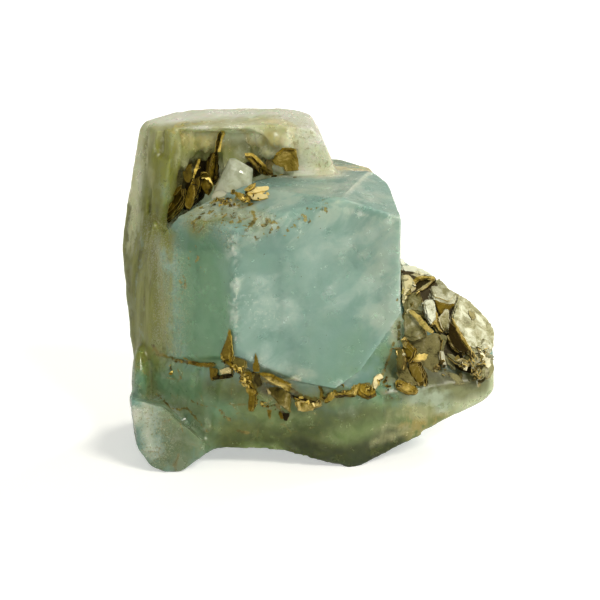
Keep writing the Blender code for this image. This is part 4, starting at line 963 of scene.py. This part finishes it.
def leaf_stack(name, shade, gold, thickness, outward, corners, dice):
    """One book, leaf by leaf from its front face to its back."""
    middle = sum(corners, Vector()) / len(corners)
    count = max(1, round(thickness / LEAF_THICK))
    room = thickness * MM / count
    bend_way = outward.orthogonal().normalized()
    bend = dice.uniform(-LEAF_BEND, LEAF_BEND) / MM
    terrace = dice.uniform(0.72, 0.9) if count > 4 else 1
    bpy.ops.object.select_all(action="DESELECT")
    shades, tones = [], []
    for leaf in range(count):
        size = terrace if leaf == 0 else dice.uniform(0.92, 1.0)
        slide = Vector([dice.gauss(0, LEAF_SLIDE) for axis in range(3)]) * MM
        slide -= outward * slide.dot(outward)
        if leaf == 0 and terrace < 1:
            slide += (dice.choice(corners) - middle) * (1 - terrace) * 0.7
        near = [middle + (corner - middle) * size + slide for corner in corners]
        rim = ragged(near, outward, dice)
        bpy.ops.mesh.primitive_circle_add(vertices=len(rim), radius=MM, fill_type="NGON")
        if leaf == 0:
            book = bpy.context.object
            bpy.ops.object.mode_set(mode="EDIT")
        work = bmesh.from_edit_mesh(book.data)
        fresh = [vert for vert in work.verts if vert.select]
        for vert, point in zip(fresh, rim):
            across = (point - middle).dot(bend_way)
            vert.co = point + outward * (bend * across * across - room * leaf)
        bmesh.update_edit_mesh(book.data)
        bpy.ops.mesh.extrude_region_move(
            TRANSFORM_OT_translate={"value": outward * (-room * (1 - LEAF_GAP))}
        )
        shades += [np.clip(shade + dice.gauss(0, SHADE_SCATTER), 0, 1)] * (2 * len(rim))
        tones += [dice.random()] * (2 * len(rim))
    bpy.ops.mesh.select_all(action="SELECT")
    bpy.ops.mesh.normals_make_consistent(inside=False)
    bpy.ops.object.mode_set(mode="OBJECT")
    book.name = name
    set_down(book)
    tint(book, "shade", np.array(shades))
    tint(book, "gold", np.full(len(shades), gold))
    tint(book, "leaf_tone", np.array(tones))
    along = np.zeros(len(book.data.polygons) * 3)
    book.data.polygons.foreach_get("normal", along)
    flatness = np.abs(along.reshape(-1, 3) @ np.array(outward))
    layer = book.data.attributes.new("leaf_edge", "FLOAT", "FACE")
    layer.data.foreach_set("value", (flatness < EDGE_FLATNESS).astype(np.float32))
    return book


def mica_book(name, shade, gold, thickness, depth, looks, outline, dice):
    """A book from a line of the tables."""
    outward = Vector(looks).normalized()
    outline_x, outline_z = outline[::2], outline[1::2]
    middle_x, middle_z = sum(outline_x) / len(outline_x), sum(outline_z) / len(outline_z)
    corners = []
    for x, z in zip(outline_x, outline_z):
        lean = outward.x * (x - middle_x) + outward.z * (z - middle_z)
        corners.append(Vector((x, depth - lean / outward.y, z)) * MM)
    return leaf_stack(name, shade, gold, thickness, outward, corners, dice)


def flake_crowd(name, grounds, crowd, dice):
    """Small loose flakes lying every way on whatever is under them along a path."""
    count, spread, sizes, shades, golds, path = crowd
    stops = list(zip(path[::3], path[1::3], path[2::3]))
    flakes = []
    for number in range(count):
        start, end = dice.choice(list(zip(stops, stops[1:])))
        place = Vector(start).lerp(Vector(end), dice.random())
        place = (place + Vector([dice.gauss(0, spread) for axis in range(3)])) * MM
        found = min((ground.find_nearest(place) for ground in grounds), key=lambda near: near[3])
        outward = (found[1] + 0.7 * Vector([dice.gauss(0, 1) for axis in range(3)])).normalized()
        if outward.dot(found[1]) < 0.15:
            outward = (outward + 0.6 * found[1]).normalized()
        across = outward.orthogonal().normalized()
        upwards = outward.cross(across)
        radius, slim, turn = dice.uniform(*sizes) * MM, dice.uniform(0.3, 0.9), dice.uniform(0, math.tau)
        corners = []
        for corner in range(FLAKE_CORNERS):
            angle = math.tau * corner / FLAKE_CORNERS + dice.uniform(-0.3, 0.3)
            reach = Vector((math.cos(angle), slim * math.sin(angle), 0)) * radius * dice.uniform(0.75, 1.1)
            reach = Vector((
                reach.x * math.cos(turn) - reach.y * math.sin(turn),
                reach.x * math.sin(turn) + reach.y * math.cos(turn), 0,
            ))
            corners.append(found[0] + outward * FLAKE_LIFT * MM + across * reach.x + upwards * reach.y)
        thickness = dice.choice(FLAKE_THICKNESSES)
        shade, gold = dice.uniform(*shades), dice.uniform(*golds)
        flakes.append(leaf_stack(f"{name}_flake_{number}", shade, gold, thickness, outward, corners, dice))
    return flakes


def set_down(piece):
    """Puts a piece's place into its mesh, so that its object sits at the origin."""
    select_only(piece)
    bpy.ops.object.transform_apply(location=True, rotation=True, scale=True)


def surface_of(piece, sort_faces=False):
    """The piece's surface, ready to be asked for the point nearest to a place.

    Blender lists the faces of extruded leaves in another order in each run. Sorting them makes every
    run find the same points.
    """
    faces = [list(polygon.vertices) for polygon in piece.data.polygons]
    if sort_faces:
        starts = [corners.index(min(corners)) for corners in faces]
        faces = sorted(corners[start:] + corners[:start] for corners, start in zip(faces, starts))
    return BVHTree.FromPolygons([vert.co for vert in piece.data.vertices], faces)


def mica_cluster(name, node, books, crowds, finish, seed):
    """All the books and loose flakes of one place, as one piece in its node's stead."""
    dice = random.Random(seed)
    rows = enumerate(books.values())
    cluster = join_all([mica_book(f"{name}_{place}", *book, dice) for place, book in rows])
    grounds = (crystal_surface, surface_of(cluster, sort_faces=True))
    flakes = [flake for crowd in crowds for flake in flake_crowd(name, grounds, crowd, dice)]
    cluster = join_all([cluster, *flakes])
    cluster.name = name
    keep_inside(cluster)
    cluster.data.materials.clear()
    cluster.data.materials.append(finish)
    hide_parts(node)
    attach(cluster, "root")


def mica_finish(name, silvers, golds, metallic):
    """Silvers and golds each run from dark over middling to bright."""
    mica = Finish(name)
    gold = mica.read("gold")
    tone = mica.read("leaf_tone")
    mottle = mica.noise(1.9, 9.0, 0.66, 0.6)
    grit = mica.noise(0.22, 3.0, 0.65)
    swing = mica.ramp(mica.read("shade"), 0.0, 0.4, 0.7, 1.5)
    shade = mica.plus(mica.read("shade"), mica.times(mica.math("SUBTRACT", mottle, 0.5), swing))
    shade = mica.plus(shade, mica.times(mica.math("SUBTRACT", grit, 0.5), 0.35))
    dark, middling, bright = (mica.blend(gold, silver, golden) for silver, golden in zip(silvers, golds))
    face = mica.blend(mica.ramp(shade, 0.05, 0.45), dark, middling)
    face = mica.blend(mica.ramp(shade, 0.45, 0.95), face, bright)
    brink = mica.plus(tone, mica.times(mica.math("SUBTRACT", grit, 0.5), 0.8))
    edge = mica.blend(mica.ramp(brink, 0.15, 0.9), golds[0], golds[2])
    edge = mica.blend(mica.ramp(mica.read("shade"), 0.0, 0.2, 0.8, 0.0), edge, golds[0])
    mica.set(mica.shader.inputs["Base Color"], mica.blend(mica.read("leaf_edge"), face, edge))
    mica.set(mica.shader.inputs["Roughness"], mica.ramp(mottle, 0.3, 0.7, 0.22, 0.48))
    mica.set(mica.shader.inputs["Normal"], mica.bump(mica.plus(mottle, grit), 0.08))
    mica.shader.inputs["Metallic"].default_value = metallic
    mica.shader.inputs["IOR"].default_value = 1.6
    mica.shader.inputs["Specular IOR Level"].default_value = 0.14
    return mica.material


crystal_surface = surface_of(crystals)
MICA_SILVERS = ((0.028, 0.027, 0.009), (0.20, 0.20, 0.10), (0.65, 0.69, 0.60))
MICA_GOLDS = ((0.030, 0.018, 0.001), (0.26, 0.175, 0.016), (0.80, 0.60, 0.19))
silvery = mica_finish("silvery_mica", MICA_SILVERS, MICA_GOLDS, 0.3)
mica_cluster("mica_fan_books", "mica_fan", MICA_FAN, FAN_CROWDS, silvery, 11)

# ---------------------------------------------------------------- mica in the hollow and on the ledge
# Olive-brown mica books standing between the two large crystals, and golden flakes lying on the
# main crystal's worn edge in front of them.
MICA_HOLLOW_LEFT = {
    "back books": (0, 0.9, 3.2, 5.2, (-0.1, -0.95, 0.3), (-22, 49.6, -20.8, 51.1, -18.7, 50.8, -16.1, 51.7,
        -15.8, 47, -18.1, 45.8, -18.7, 44.1, -21.4, 42, -23.4, 42.3, -22.3, 46.4)),
    "olive lens": (0.32, 0.8, 1, 2.4, (-0.21, -0.93, 0.31), (-22, 49.2, -21.7, 50.1, -21.2, 50.5, -20.5, 50.7,
        -20.4, 48.5, -20.9, 47.6, -21.6, 47.9)),
    "standing blade": (0.65, 1, 0.5, 2.3, (0.5, -0.86, 0.1), (-15.4, 57.6, -15.1, 57.5, -14.6, 56.6,
        -14.4, 56, -14.8, 54.9, -15, 53.9, -15.2, 53, -15.7, 53, -15.3, 54.5, -14.9, 56, -15.2, 56.8)),
    "standing shadow": (0.3, 0.9, 0.5, 2.6, (0.42, -0.9, 0.11), (-15.3, 56.3, -15, 55.7, -15.2, 54.3,
        -15.7, 52.8, -16.2, 52.8, -16, 54.4)),
    "dark blade": (0.1, 0.9, 1.6, 4, (0.7, -0.7, 0.15), (-16.8, 51.2, -16.4, 52.1, -15.8, 52.2, -15.8, 48.7,
        -16.1, 47.2, -16.8, 47.6, -17.4, 48.3)),
    "brown stripe": (0.3, 1, 0.4, 3.6, (0.52, -0.84, 0.16), (-16.7, 51.2, -16.4, 52, -16.2, 52, -16.6, 48.9,
        -17, 47.9, -17.2, 48.3)),
    "second stripe": (0.22, 1, 0.4, 3.7, (0.52, -0.84, 0.16), (-16, 52.1, -15.8, 52.2, -16, 48.9, -16.3, 47.6,
        -16.5, 47.8)),
    "edge blade": (0.6, 1, 0.3, 2.2, (0.31, -0.92, 0.25), (-20, 49.3, -19.7, 50.4, -19.3, 51.4, -18.9, 51.4,
        -19.2, 50.2, -19.6, 49.3, -20, 48.2, -20.3, 48.4)),
    "mid blade": (0.14, 0.9, 1.4, 2.2, (-0.3, -0.9, 0.3), (-20.2, 47.9, -19, 48.6, -18.9, 47.6, -19.3, 46,
        -19.9, 44.6, -20.4, 45.3)),
    "lens books": (0.46, 1, 1, 1.6, (-0.3, -0.9, 0.3), (-20.4, 47.7, -20.1, 47.5, -20, 46.6, -20.1, 44.9,
        -20.4, 43.8, -20.9, 42.9, -21.4, 43, -21.7, 43.7, -21.6, 45, -21, 46.6)),
    "curved plate": (0.4, 1, 1.2, 3, (-0.2, -0.9, 0.4), (-18.9, 46.7, -18.6, 47.5, -18.2, 48, -17.4, 47.9,
        -16.8, 46.9, -17, 46.4, -17.6, 45.1, -18.2, 45.5)),
    "curved rim": (0.8, 0.9, 0.2, 2.7, (0.21, -0.83, 0.52), (-18.6, 47.9, -18.1, 48.3, -17.3, 48.1,
        -16.7, 47.1, -16.7, 46.7, -17.4, 47.7, -18.1, 48)),
    "long book": (0.1, 1, 2, 1.7, (-0.5, -0.74, 0.45), (-25.6, 41.3, -25.4, 42.5, -24.6, 43.5, -23.7, 44.5,
        -23.1, 45.8, -22.1, 46.5, -21.8, 45.1, -23, 43.2, -24.8, 41.4, -25.4, 40.9)),
    "gold edge": (0.3, 1, 0.3, 1.2, (-0.5, -0.7, 0.5), (-25.6, 41.6, -25.3, 42.6, -24.5, 43.6, -24, 44.1,
        -23.9, 44, -24.8, 42.7, -25.3, 41.3)),
    "second edge": (0.25, 1, 0.3, 1, (-0.42, -0.74, 0.53), (-23.6, 45.4, -23, 46.5, -22.1, 47.3, -22.2, 46.8,
        -23.1, 45.7)),
}
MICA_HOLLOW_RIGHT = {
    "curved blade": (0.75, 0.9, 0.9, 2.3, (0.35, -0.8, 0.5), (-11, 52.7, -10.1, 52.7, -9.4, 52.4, -8.1, 51.2,
        -6, 49, -6.4, 48.9, -7.5, 49.7, -8.5, 51, -9.6, 52, -10.9, 52.3)),
    "inner blade": (0.35, 0.9, 0.8, 2.6, (0.3, -0.86, 0.41), (-11, 52.1, -9.6, 51.8, -8.5, 50.7, -7.4, 49.4,
        -6.6, 48.7, -7.7, 48.9, -9, 50, -10.1, 51.3)),
    "dark side": (0.08, 0.9, 3.2, 3.1, (0.1, -0.95, 0.3), (-11.5, 50.2, -10.8, 50.8, -9.6, 50.6, -8.6, 49.6,
        -8.1, 48.8, -9.7, 48.3, -10.1, 49.4)),
    "brown plate": (0.5, 0.8, 0.8, -0.4, (0.1, -0.97, 0.2), (-5.7, 53.1, -4.4, 54.2, -2.2, 54, -1.7, 51.5,
        -1.7, 50.3, -3.9, 50.2, -4.4, 51, -5.7, 51.4, -6.4, 52.1)),
    "plate rim": (0.45, 1, 0.6, -0.7, (0.1, -0.7, 0.7), (-5.7, 53.4, -4.4, 54.4, -2.2, 54.2, -2.4, 54,
        -4.2, 54.1, -5.3, 53.4)),
    "root": (0.75, 0.6, 1, 4.2, (0.1, -0.91, 0.4), (-7.1, 51.1, -5.9, 51.5, -5.9, 50.1, -6.3, 48.9,
        -7.5, 49.6)),
}
MICA_LEDGE = {
    "amber flake": (0.5, 1, 0.8, -9.9, (-0.3, -0.6, 0.75), (-13, 48.7, -11.9, 48.7, -10.5, 48.4, -9.9, 47.6,
        -10.7, 47.8, -11.9, 48)),
    "pale flake": (0.95, 0.6, 0.6, -8.7, (0.1, -0.5, 0.86), (-10.1, 49.4, -8.5, 49.5, -6.9, 49.5, -6.7, 49.1,
        -8.8, 48.8, -10.2, 48.8)),
    "second flake": (0.9, 0.5, 0.6, -10.3, (-0.1, -0.56, 0.82), (-10, 48.5, -8.5, 48.8, -7.2, 48.7,
        -6.9, 48.3, -8.8, 48, -9.7, 48.1)),
    "third flake": (0.85, 0.8, 0.6, -10.6, (-0.21, -0.52, 0.83), (-9.3, 47.8, -7.3, 47.7, -7.5, 47.4,
        -8.7, 47.5)),
    "rear flake": (0.7, 0.9, 0.6, -9, (-0.21, -0.52, 0.83), (-11, 49.3, -10, 50, -9.2, 50.3, -9.4, 49.8,
        -10.3, 49.3)),
    "middle flake": (0.6, 0.9, 0.6, -9.6, (0.1, -0.6, 0.8), (-10.9, 49, -8.8, 48.8, -9, 48.4, -10.3, 48.4)),
}
HOLLOW_LEFT_CROWDS = (
    (16, 0.6, (0.3, 0.9), (0, 0.4), (0.6, 1), (-21.5, 3, 45, -19.5, 3, 47.5, -18, 3.5, 49.5)),
)
HOLLOW_RIGHT_CROWDS = (
    (8, 0.5, (0.3, 0.7), (0.1, 0.5), (0.6, 1), (-9, 2, 49.4, -6.5, 1, 49.4, -3, -0.5, 50.2)),
)
LEDGE_CROWDS = (
    (24, 0.5, (0.25, 0.7), (0.4, 1), (0.7, 1), (-12.2, -9.5, 48.2, -9.5, -10.3, 47.8, -7.2, -10, 48.3)),
    (26, 0.55, (0.2, 0.55), (0, 0.5), (0.7, 1), (-16.2, -8, 47.6, -14.6, -8.6, 47.6, -12.8, -9, 47.8)),
    (10, 0.35, (0.2, 0.45), (0.5, 0.9), (0.8, 1), (-16.4, -5.5, 48.6, -15.2, -6, 48.6)),
)

brown = mica_finish(
    "brown_mica",
    ((0.022, 0.016, 0.003), (0.17, 0.15, 0.04), (0.74, 0.70, 0.50)),
    ((0.016, 0.010, 0.0005), (0.18, 0.12, 0.006), (0.86, 0.64, 0.15)),
    0.5,
)
mica_cluster(
    "hollow_books_left", "mica_hollow_left", MICA_HOLLOW_LEFT, HOLLOW_LEFT_CROWDS, brown, 12
)
mica_cluster(
    "hollow_books_right", "mica_hollow_right", MICA_HOLLOW_RIGHT, HOLLOW_RIGHT_CROWDS, brown, 13
)
mica_cluster("ledge_flakes", "mica_ledge", MICA_LEDGE, LEDGE_CROWDS, brown, 14)

# ---------------------------------------------------------------- mica in the seam
# Golden-brown blades, pale clumps and crumbs of mica squeezed along the seam below the main crystal.
MICA_SEAM_LEFT = {
    "tapered wedge": (0.32, 0.9, 2, -16, (-0.6, -0.8, 0.05), (-13.6, 26.5, -13.4, 25.3, -13.3, 23,
        -13.3, 21.6, -13.5, 20.8, -14.5, 20.3, -15.3, 20.7, -15.4, 21.7, -14.8, 23.4, -14.1, 25.4)),
    "wedge edge": (0.5, 1, 0.5, -16.4, (0.2, -0.97, 0.1), (-13.6, 26.5, -13.3, 26.1, -13.2, 22.9, -13.2, 20.8,
        -13.5, 20.8, -13.5, 23, -13.6, 25.2)),
    "left strip": (0.35, 1, 1, -11.9, (-0.51, -0.76, 0.41), (-21.2, 18.8, -20, 18.9, -17.7, 19.2, -16.3, 19.3,
        -17, 18.9, -19.5, 18.5, -20.9, 18.6)),
    "pale grain": (0.98, 0.45, 1.6, -14.1, (-0.5, -0.8, 0.35), (-15.6, 18.3, -14.7, 18.8, -13.6, 19.1,
        -13.3, 18.7, -13.5, 18, -14.5, 17.8, -15.3, 17.5)),
    "grain blades": (0.38, 1, 1.2, -13.2, (-0.61, -0.76, 0.2), (-17.4, 18.2, -16, 18.5, -16.2, 17.3,
        -16.6, 16.4, -17.1, 16.2, -17.3, 17.3)),
    "grain foot": (0.12, 1, 0.8, -14.2, (-0.5, -0.7, 0.5), (-16.7, 17, -15.3, 17.4, -13.3, 18, -13.2, 17.7,
        -14.5, 17.2, -16.3, 16.6)),
    "diagonal": (0.35, 1, 0.8, -16.4, (-0.21, -0.93, 0.31), (-14.4, 20.9, -13.6, 20.7, -11.8, 19.5, -12, 19.2,
        -13.4, 20, -14.4, 20.4)),
    "notch plate": (0.34, 0.3, 0.6, -16.2, (-0.2, -0.97, 0.1), (-13.2, 23.8, -12.4, 22.9, -11, 22.3,
        -10.7, 19.6, -11.9, 19.2, -13.3, 21)),
    "clump left": (0.55, 0.8, 1.4, -16.4, (-0.5, -0.81, 0.3), (-11.9, 19, -10.9, 19, -10.6, 18.2, -11.1, 16.8,
        -11.8, 17.3)),
    "clump middle": (0.3, 0.95, 1.2, -16.7, (-0.1, -0.99, 0.1), (-10.9, 19, -9.8, 18.9, -9.5, 17.5, -10, 16,
        -10.7, 16.7, -11.1, 17.7)),
    "clump right": (0.16, 0.85, 1.2, -16.6, (0.3, -0.93, 0.2), (-9.7, 18.8, -8.5, 18.4, -8, 17.3, -8.5, 16.3,
        -9.2, 16, -9.8, 17.1)),
    "clump foot": (0.5, 1, 1, -16.2, (-0.2, -0.93, 0.3), (-10.8, 16.1, -9.3, 15.8, -9.2, 15, -10.1, 14.7,
        -10.7, 15.3)),
    "grey clump": (0.25, 0.3, 1.2, -17, (0, -0.99, 0.15), (-9.6, 18.9, -8.5, 18.6, -8, 16.8, -9, 16.1,
        -9.8, 17.5)),
    "spike": (0.42, 0.9, 1, -17.3, (-0.1, -0.99, 0.05), (-9.1, 22.8, -8.7, 21.8, -8.4, 19.3, -9, 19.3,
        -9.5, 19.3, -9.3, 21.4)),
    "blade": (0.58, 0.8, 1.4, -17.1, (-0.1, -0.96, 0.26), (-8.5, 18.6, -6.6, 18.4, -4.6, 17.5, -3.2, 16.9,
        -3.2, 15.9, -3.5, 15.7, -5.1, 16.7, -7.5, 17.7)),
    "blade rim": (0.35, 1, 0.7, -17.3, (-0.1, -0.91, 0.4), (-8.5, 18.9, -6.6, 18.8, -4.6, 18, -3.1, 17.3,
        -3.2, 17.1, -4.7, 17.5, -6.6, 18.4, -8.3, 18.5)),
    "hanging blade": (0.4, 1, 1.6, -15.7, (-0.3, -0.95, 0.1), (-10.2, 14.4, -9.2, 14.5, -9.3, 12.7,
        -9.7, 11.4, -10.1, 11.4, -10.3, 13)),
    "hanging edge": (0.55, 0.9, 0.5, -16, (-0.3, -0.95, 0.1), (-9.6, 14.6, -9.1, 14.6, -9.4, 12.3, -9.9, 11.5,
        -9.7, 12.8)),
    "dark fill": (0.45, 0.4, 1.6, -14.8, (-0.1, -0.91, 0.4), (-7.5, 16.3, -5.1, 15.4, -3.2, 14.4, -3.2, 11.4,
        -4.9, 12.6, -6.6, 14.1)),
    "drip one": (0.6, 0.8, 0.5, -13.8, (-0.1, -0.97, 0.2), (-7.2, 11, -6.3, 11, -6.6, 9.4, -7, 10)),
    "drip two": (0.45, 1, 0.5, -13.9, (-0.1, -0.97, 0.2), (-5.5, 11.8, -4.6, 10.3, -4.4, 9.3, -4.9, 9.4)),
    "drip three": (0.12, 1, 0.5, -13.9, (-0.1, -0.97, 0.2), (-4.7, 10.6, -3.3, 10.7, -3.7, 9.3, -4.2, 9.4)),
    "small blade": (0.8, 0.6, 0.5, -14.2, (-0.1, -0.97, 0.2), (-7.2, 15, -6.4, 15, -6.6, 14.1, -7.1, 14.2)),
}
MICA_SEAM_RIGHT = {
    "pale clump": (0.72, 0.7, 2, -15.3, (-0.1, -0.91, 0.4), (-2.2, 12.7, -0.9, 13.3, 0.8, 12.9, 2, 13.2,
        2.2, 12.6, 0.8, 12.1, -0.8, 11.5, -1.8, 11.6)),
    "clump rim": (0.15, 1, 0.8, -14.4, (-0.11, -0.84, 0.53), (-4.9, 14.9, -3.9, 14.6, -2.2, 13.8, 0.2, 13.3,
        2.2, 13, 2.1, 12.7, 0.2, 12.9, -2.3, 13.4, -4.1, 14.2)),
    "fine spike": (0.5, 0.8, 0.9, -15.2, (-0.1, -0.97, 0.2), (1.1, 17.4, 1.7, 16.6, 2.5, 14.7, 2.7, 13.5,
        2, 13.7, 2, 15.2)),
    "seam strip": (0.52, 0.85, 1.6, -15.2, (0.05, -0.91, 0.41), (2.7, 13.3, 3.6, 14.8, 4.8, 14.7, 6.8, 14.9,
        8.4, 15.9, 8.9, 16.3, 8.2, 14.3, 6.1, 14.5, 4.4, 14.2, 3.2, 13.3)),
    "strip rim": (0.15, 1, 0.6, -15.4, (0.05, -0.85, 0.53), (4.4, 14.4, 6.1, 14.6, 7.1, 14.5, 8.2, 14.3,
        7.1, 14.2, 6.1, 14.3, 4.7, 14.1)),
    "white clump": (0.38, 1, 2.4, -14.2, (0.2, -0.9, 0.4), (8.4, 15.8, 9.4, 16, 10.3, 15.4, 11.2, 15.6,
        11.6, 14.8, 11.8, 13.8, 10.6, 13.4, 9.4, 13.9, 8.4, 14.5)),
    "white blade": (0.85, 0.3, 0.8, -14.3, (0.3, -0.9, 0.3), (11.1, 16.3, 11.3, 17, 12.3, 17.6, 12.9, 16.9,
        12, 16.2, 11.6, 15.2, 11.2, 15.5)),
}
SEAM_LEFT_CROWDS = (
    (110, 0.5, (0.15, 0.45), (0.3, 1), (0.6, 1), (-12.8, -16.4, 19.6, -11.4, -16.6, 18.4,
        -10.2, -16.4, 16.6)),
    (16, 0.3, (0.2, 0.45), (0.1, 0.7), (0.8, 1), (-15.2, -15.6, 21.4, -14.2, -15.8, 20.4)),
    (24, 0.35, (0.15, 0.4), (0.1, 0.7), (0.8, 1), (-24.5, -7.1, 18.4, -20.6, -9.7, 18.4, -17.4, -11.6, 18.5)),
    (24, 0.35, (0.15, 0.45), (0.1, 0.8), (0.8, 1), (-9.6, -14.6, 15.6, -8.6, -14.2, 12.4, -6, -14, 11.4)),
    (8, 0.25, (0.15, 0.4), (0.1, 0.6), (0.9, 1), (-24.2, -7.2, 16.9, -23.8, -7.6, 15.6)),
)
SEAM_RIGHT_CROWDS = (
    (30, 0.35, (0.2, 0.5), (0.3, 1), (0.6, 1), (-2.4, -14.9, 13, 0.4, -14.9, 12.8, 2.4, -14.9, 13.3)),
    (30, 0.3, (0.2, 0.5), (0.2, 0.9), (0.7, 1), (2.8, -15, 13.8, 5.2, -15, 15, 8.4, -14.6, 15.2)),
    (30, 0.4, (0.2, 0.6), (0.2, 1), (0.6, 1), (9, -14.2, 15.4, 11, -14, 15, 12.2, -13.8, 16.4)),
    (10, 0.25, (0.15, 0.4), (0.1, 0.5), (0.9, 1), (13.6, -9, 15.6, 14, -9.6, 13.6)),
)

mica_cluster(
    "seam_blades_left", "mica_seam_left", MICA_SEAM_LEFT, SEAM_LEFT_CROWDS, brown, 15
)
mica_cluster(
    "seam_blades_right", "mica_seam_right", MICA_SEAM_RIGHT, SEAM_RIGHT_CROWDS, brown, 16
)

# ---------------------------------------------------------------- quartz grain
# A small colourless quartz grain with uneven facets, grown on the main crystal's upper edge. It is clear
# to slightly milky, so that the mica behind it shows through.
QUARTZ_CORNERS = ((-16.4, -6.2, 44.8), (-9.6, -0.6, 53.1))
QUARTZ_FACETS = (
    # a place on the facet and the way it looks
    ((-14.4, -4.3, 51.0), (-0.82, -0.35, 0.45)),
    ((-14.9, -3.0, 50.4), (-0.90, 0.0, 0.43)),
    ((-13.2, -4.0, 52.9), (-0.35, -0.45, 0.82)),
    ((-11.6, -5.2, 51.6), (0.30, -0.75, 0.60)),
    ((-12.4, -5.9, 49.4), (0.12, -0.98, 0.16)),
    ((-14.6, -5.2, 49.2), (-0.60, -0.78, 0.20)),
    ((-11.6, -3.3, 52.6), (0.50, 0.25, 0.83)),
    ((-10.1, -4.3, 51.0), (0.86, -0.45, 0.25)),
    ((-9.9, -3.0, 49.6), (0.95, 0.20, -0.24)),
    ((-12.0, -1.1, 50.5), (-0.1, 0.90, 0.42)),
)
LOBE_MIDDLE, LOBE_HALF_SIZES = (-14.9, -5.5, 46.9), (1.9, 1.4, 1.3)
BEVEL = 0.14
QUARTZ_CREASE_ANGLE = 25

low, high = (Vector(corner_of_grain) * MM for corner_of_grain in QUARTZ_CORNERS)
bpy.ops.object.select_all(action="DESELECT")
bpy.ops.mesh.primitive_cube_add(size=1, location=(low + high) / 2, scale=high - low)
grain = bpy.context.object
grain.name = "quartz_grain_facets"
set_down(grain)
bpy.ops.object.mode_set(mode="EDIT")
for point, looks in QUARTZ_FACETS:
    bpy.ops.mesh.select_all(action="SELECT")
    bpy.ops.mesh.bisect(
        plane_co=Vector(point) * MM, plane_no=looks, use_fill=True, clear_outer=True
    )
bpy.ops.mesh.select_all(action="DESELECT")
bpy.ops.mesh.primitive_ico_sphere_add(
    subdivisions=2, radius=MM, location=Vector(LOBE_MIDDLE) * MM, scale=LOBE_HALF_SIZES
)
bpy.ops.mesh.select_all(action="SELECT")
bpy.ops.mesh.bevel(offset=BEVEL * MM, segments=2)
bpy.ops.mesh.normals_make_consistent(inside=False)
bpy.ops.object.mode_set(mode="OBJECT")
bpy.ops.object.shade_smooth_by_angle(angle=math.radians(QUARTZ_CREASE_ANGLE))

quartz = Finish("milky_quartz")
haze = quartz.noise(1.4, 4.0, 0.6, 0.6)
height = quartz.add("ShaderNodeSeparateXYZ", {"Vector": quartz.place}).outputs["Z"]
colour = quartz.blend(quartz.ramp(haze, 0.3, 0.7), (0.54, 0.57, 0.42), (0.80, 0.84, 0.68))
# painted light: the grain lightens towards cream at its foot, where the lamps leave it in shade
colour = quartz.blend(quartz.ramp(height, 46.5, 49.5, 0.85, 0.0), colour, (0.95, 0.92, 0.66))
quartz.set(quartz.shader.inputs["Base Color"], colour)
quartz.set(quartz.shader.inputs["Roughness"], quartz.ramp(haze, 0.3, 0.7, 0.05, 0.25))
quartz.set(quartz.shader.inputs["Normal"], quartz.bump(quartz.noise(0.5, 3.0), 0.05))
quartz.shader.inputs["IOR"].default_value = 1.54
quartz.shader.inputs["Transmission Weight"].default_value = 0.45
quartz.shader.inputs["Subsurface Weight"].default_value = 0.6
quartz.shader.inputs["Subsurface Radius"].default_value = (1.0, 1.0, 0.9)
quartz.shader.inputs["Subsurface Scale"].default_value = 2.0 * MM
grain.data.materials.append(quartz.material)
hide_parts("quartz_grain")
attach(grain, "root")
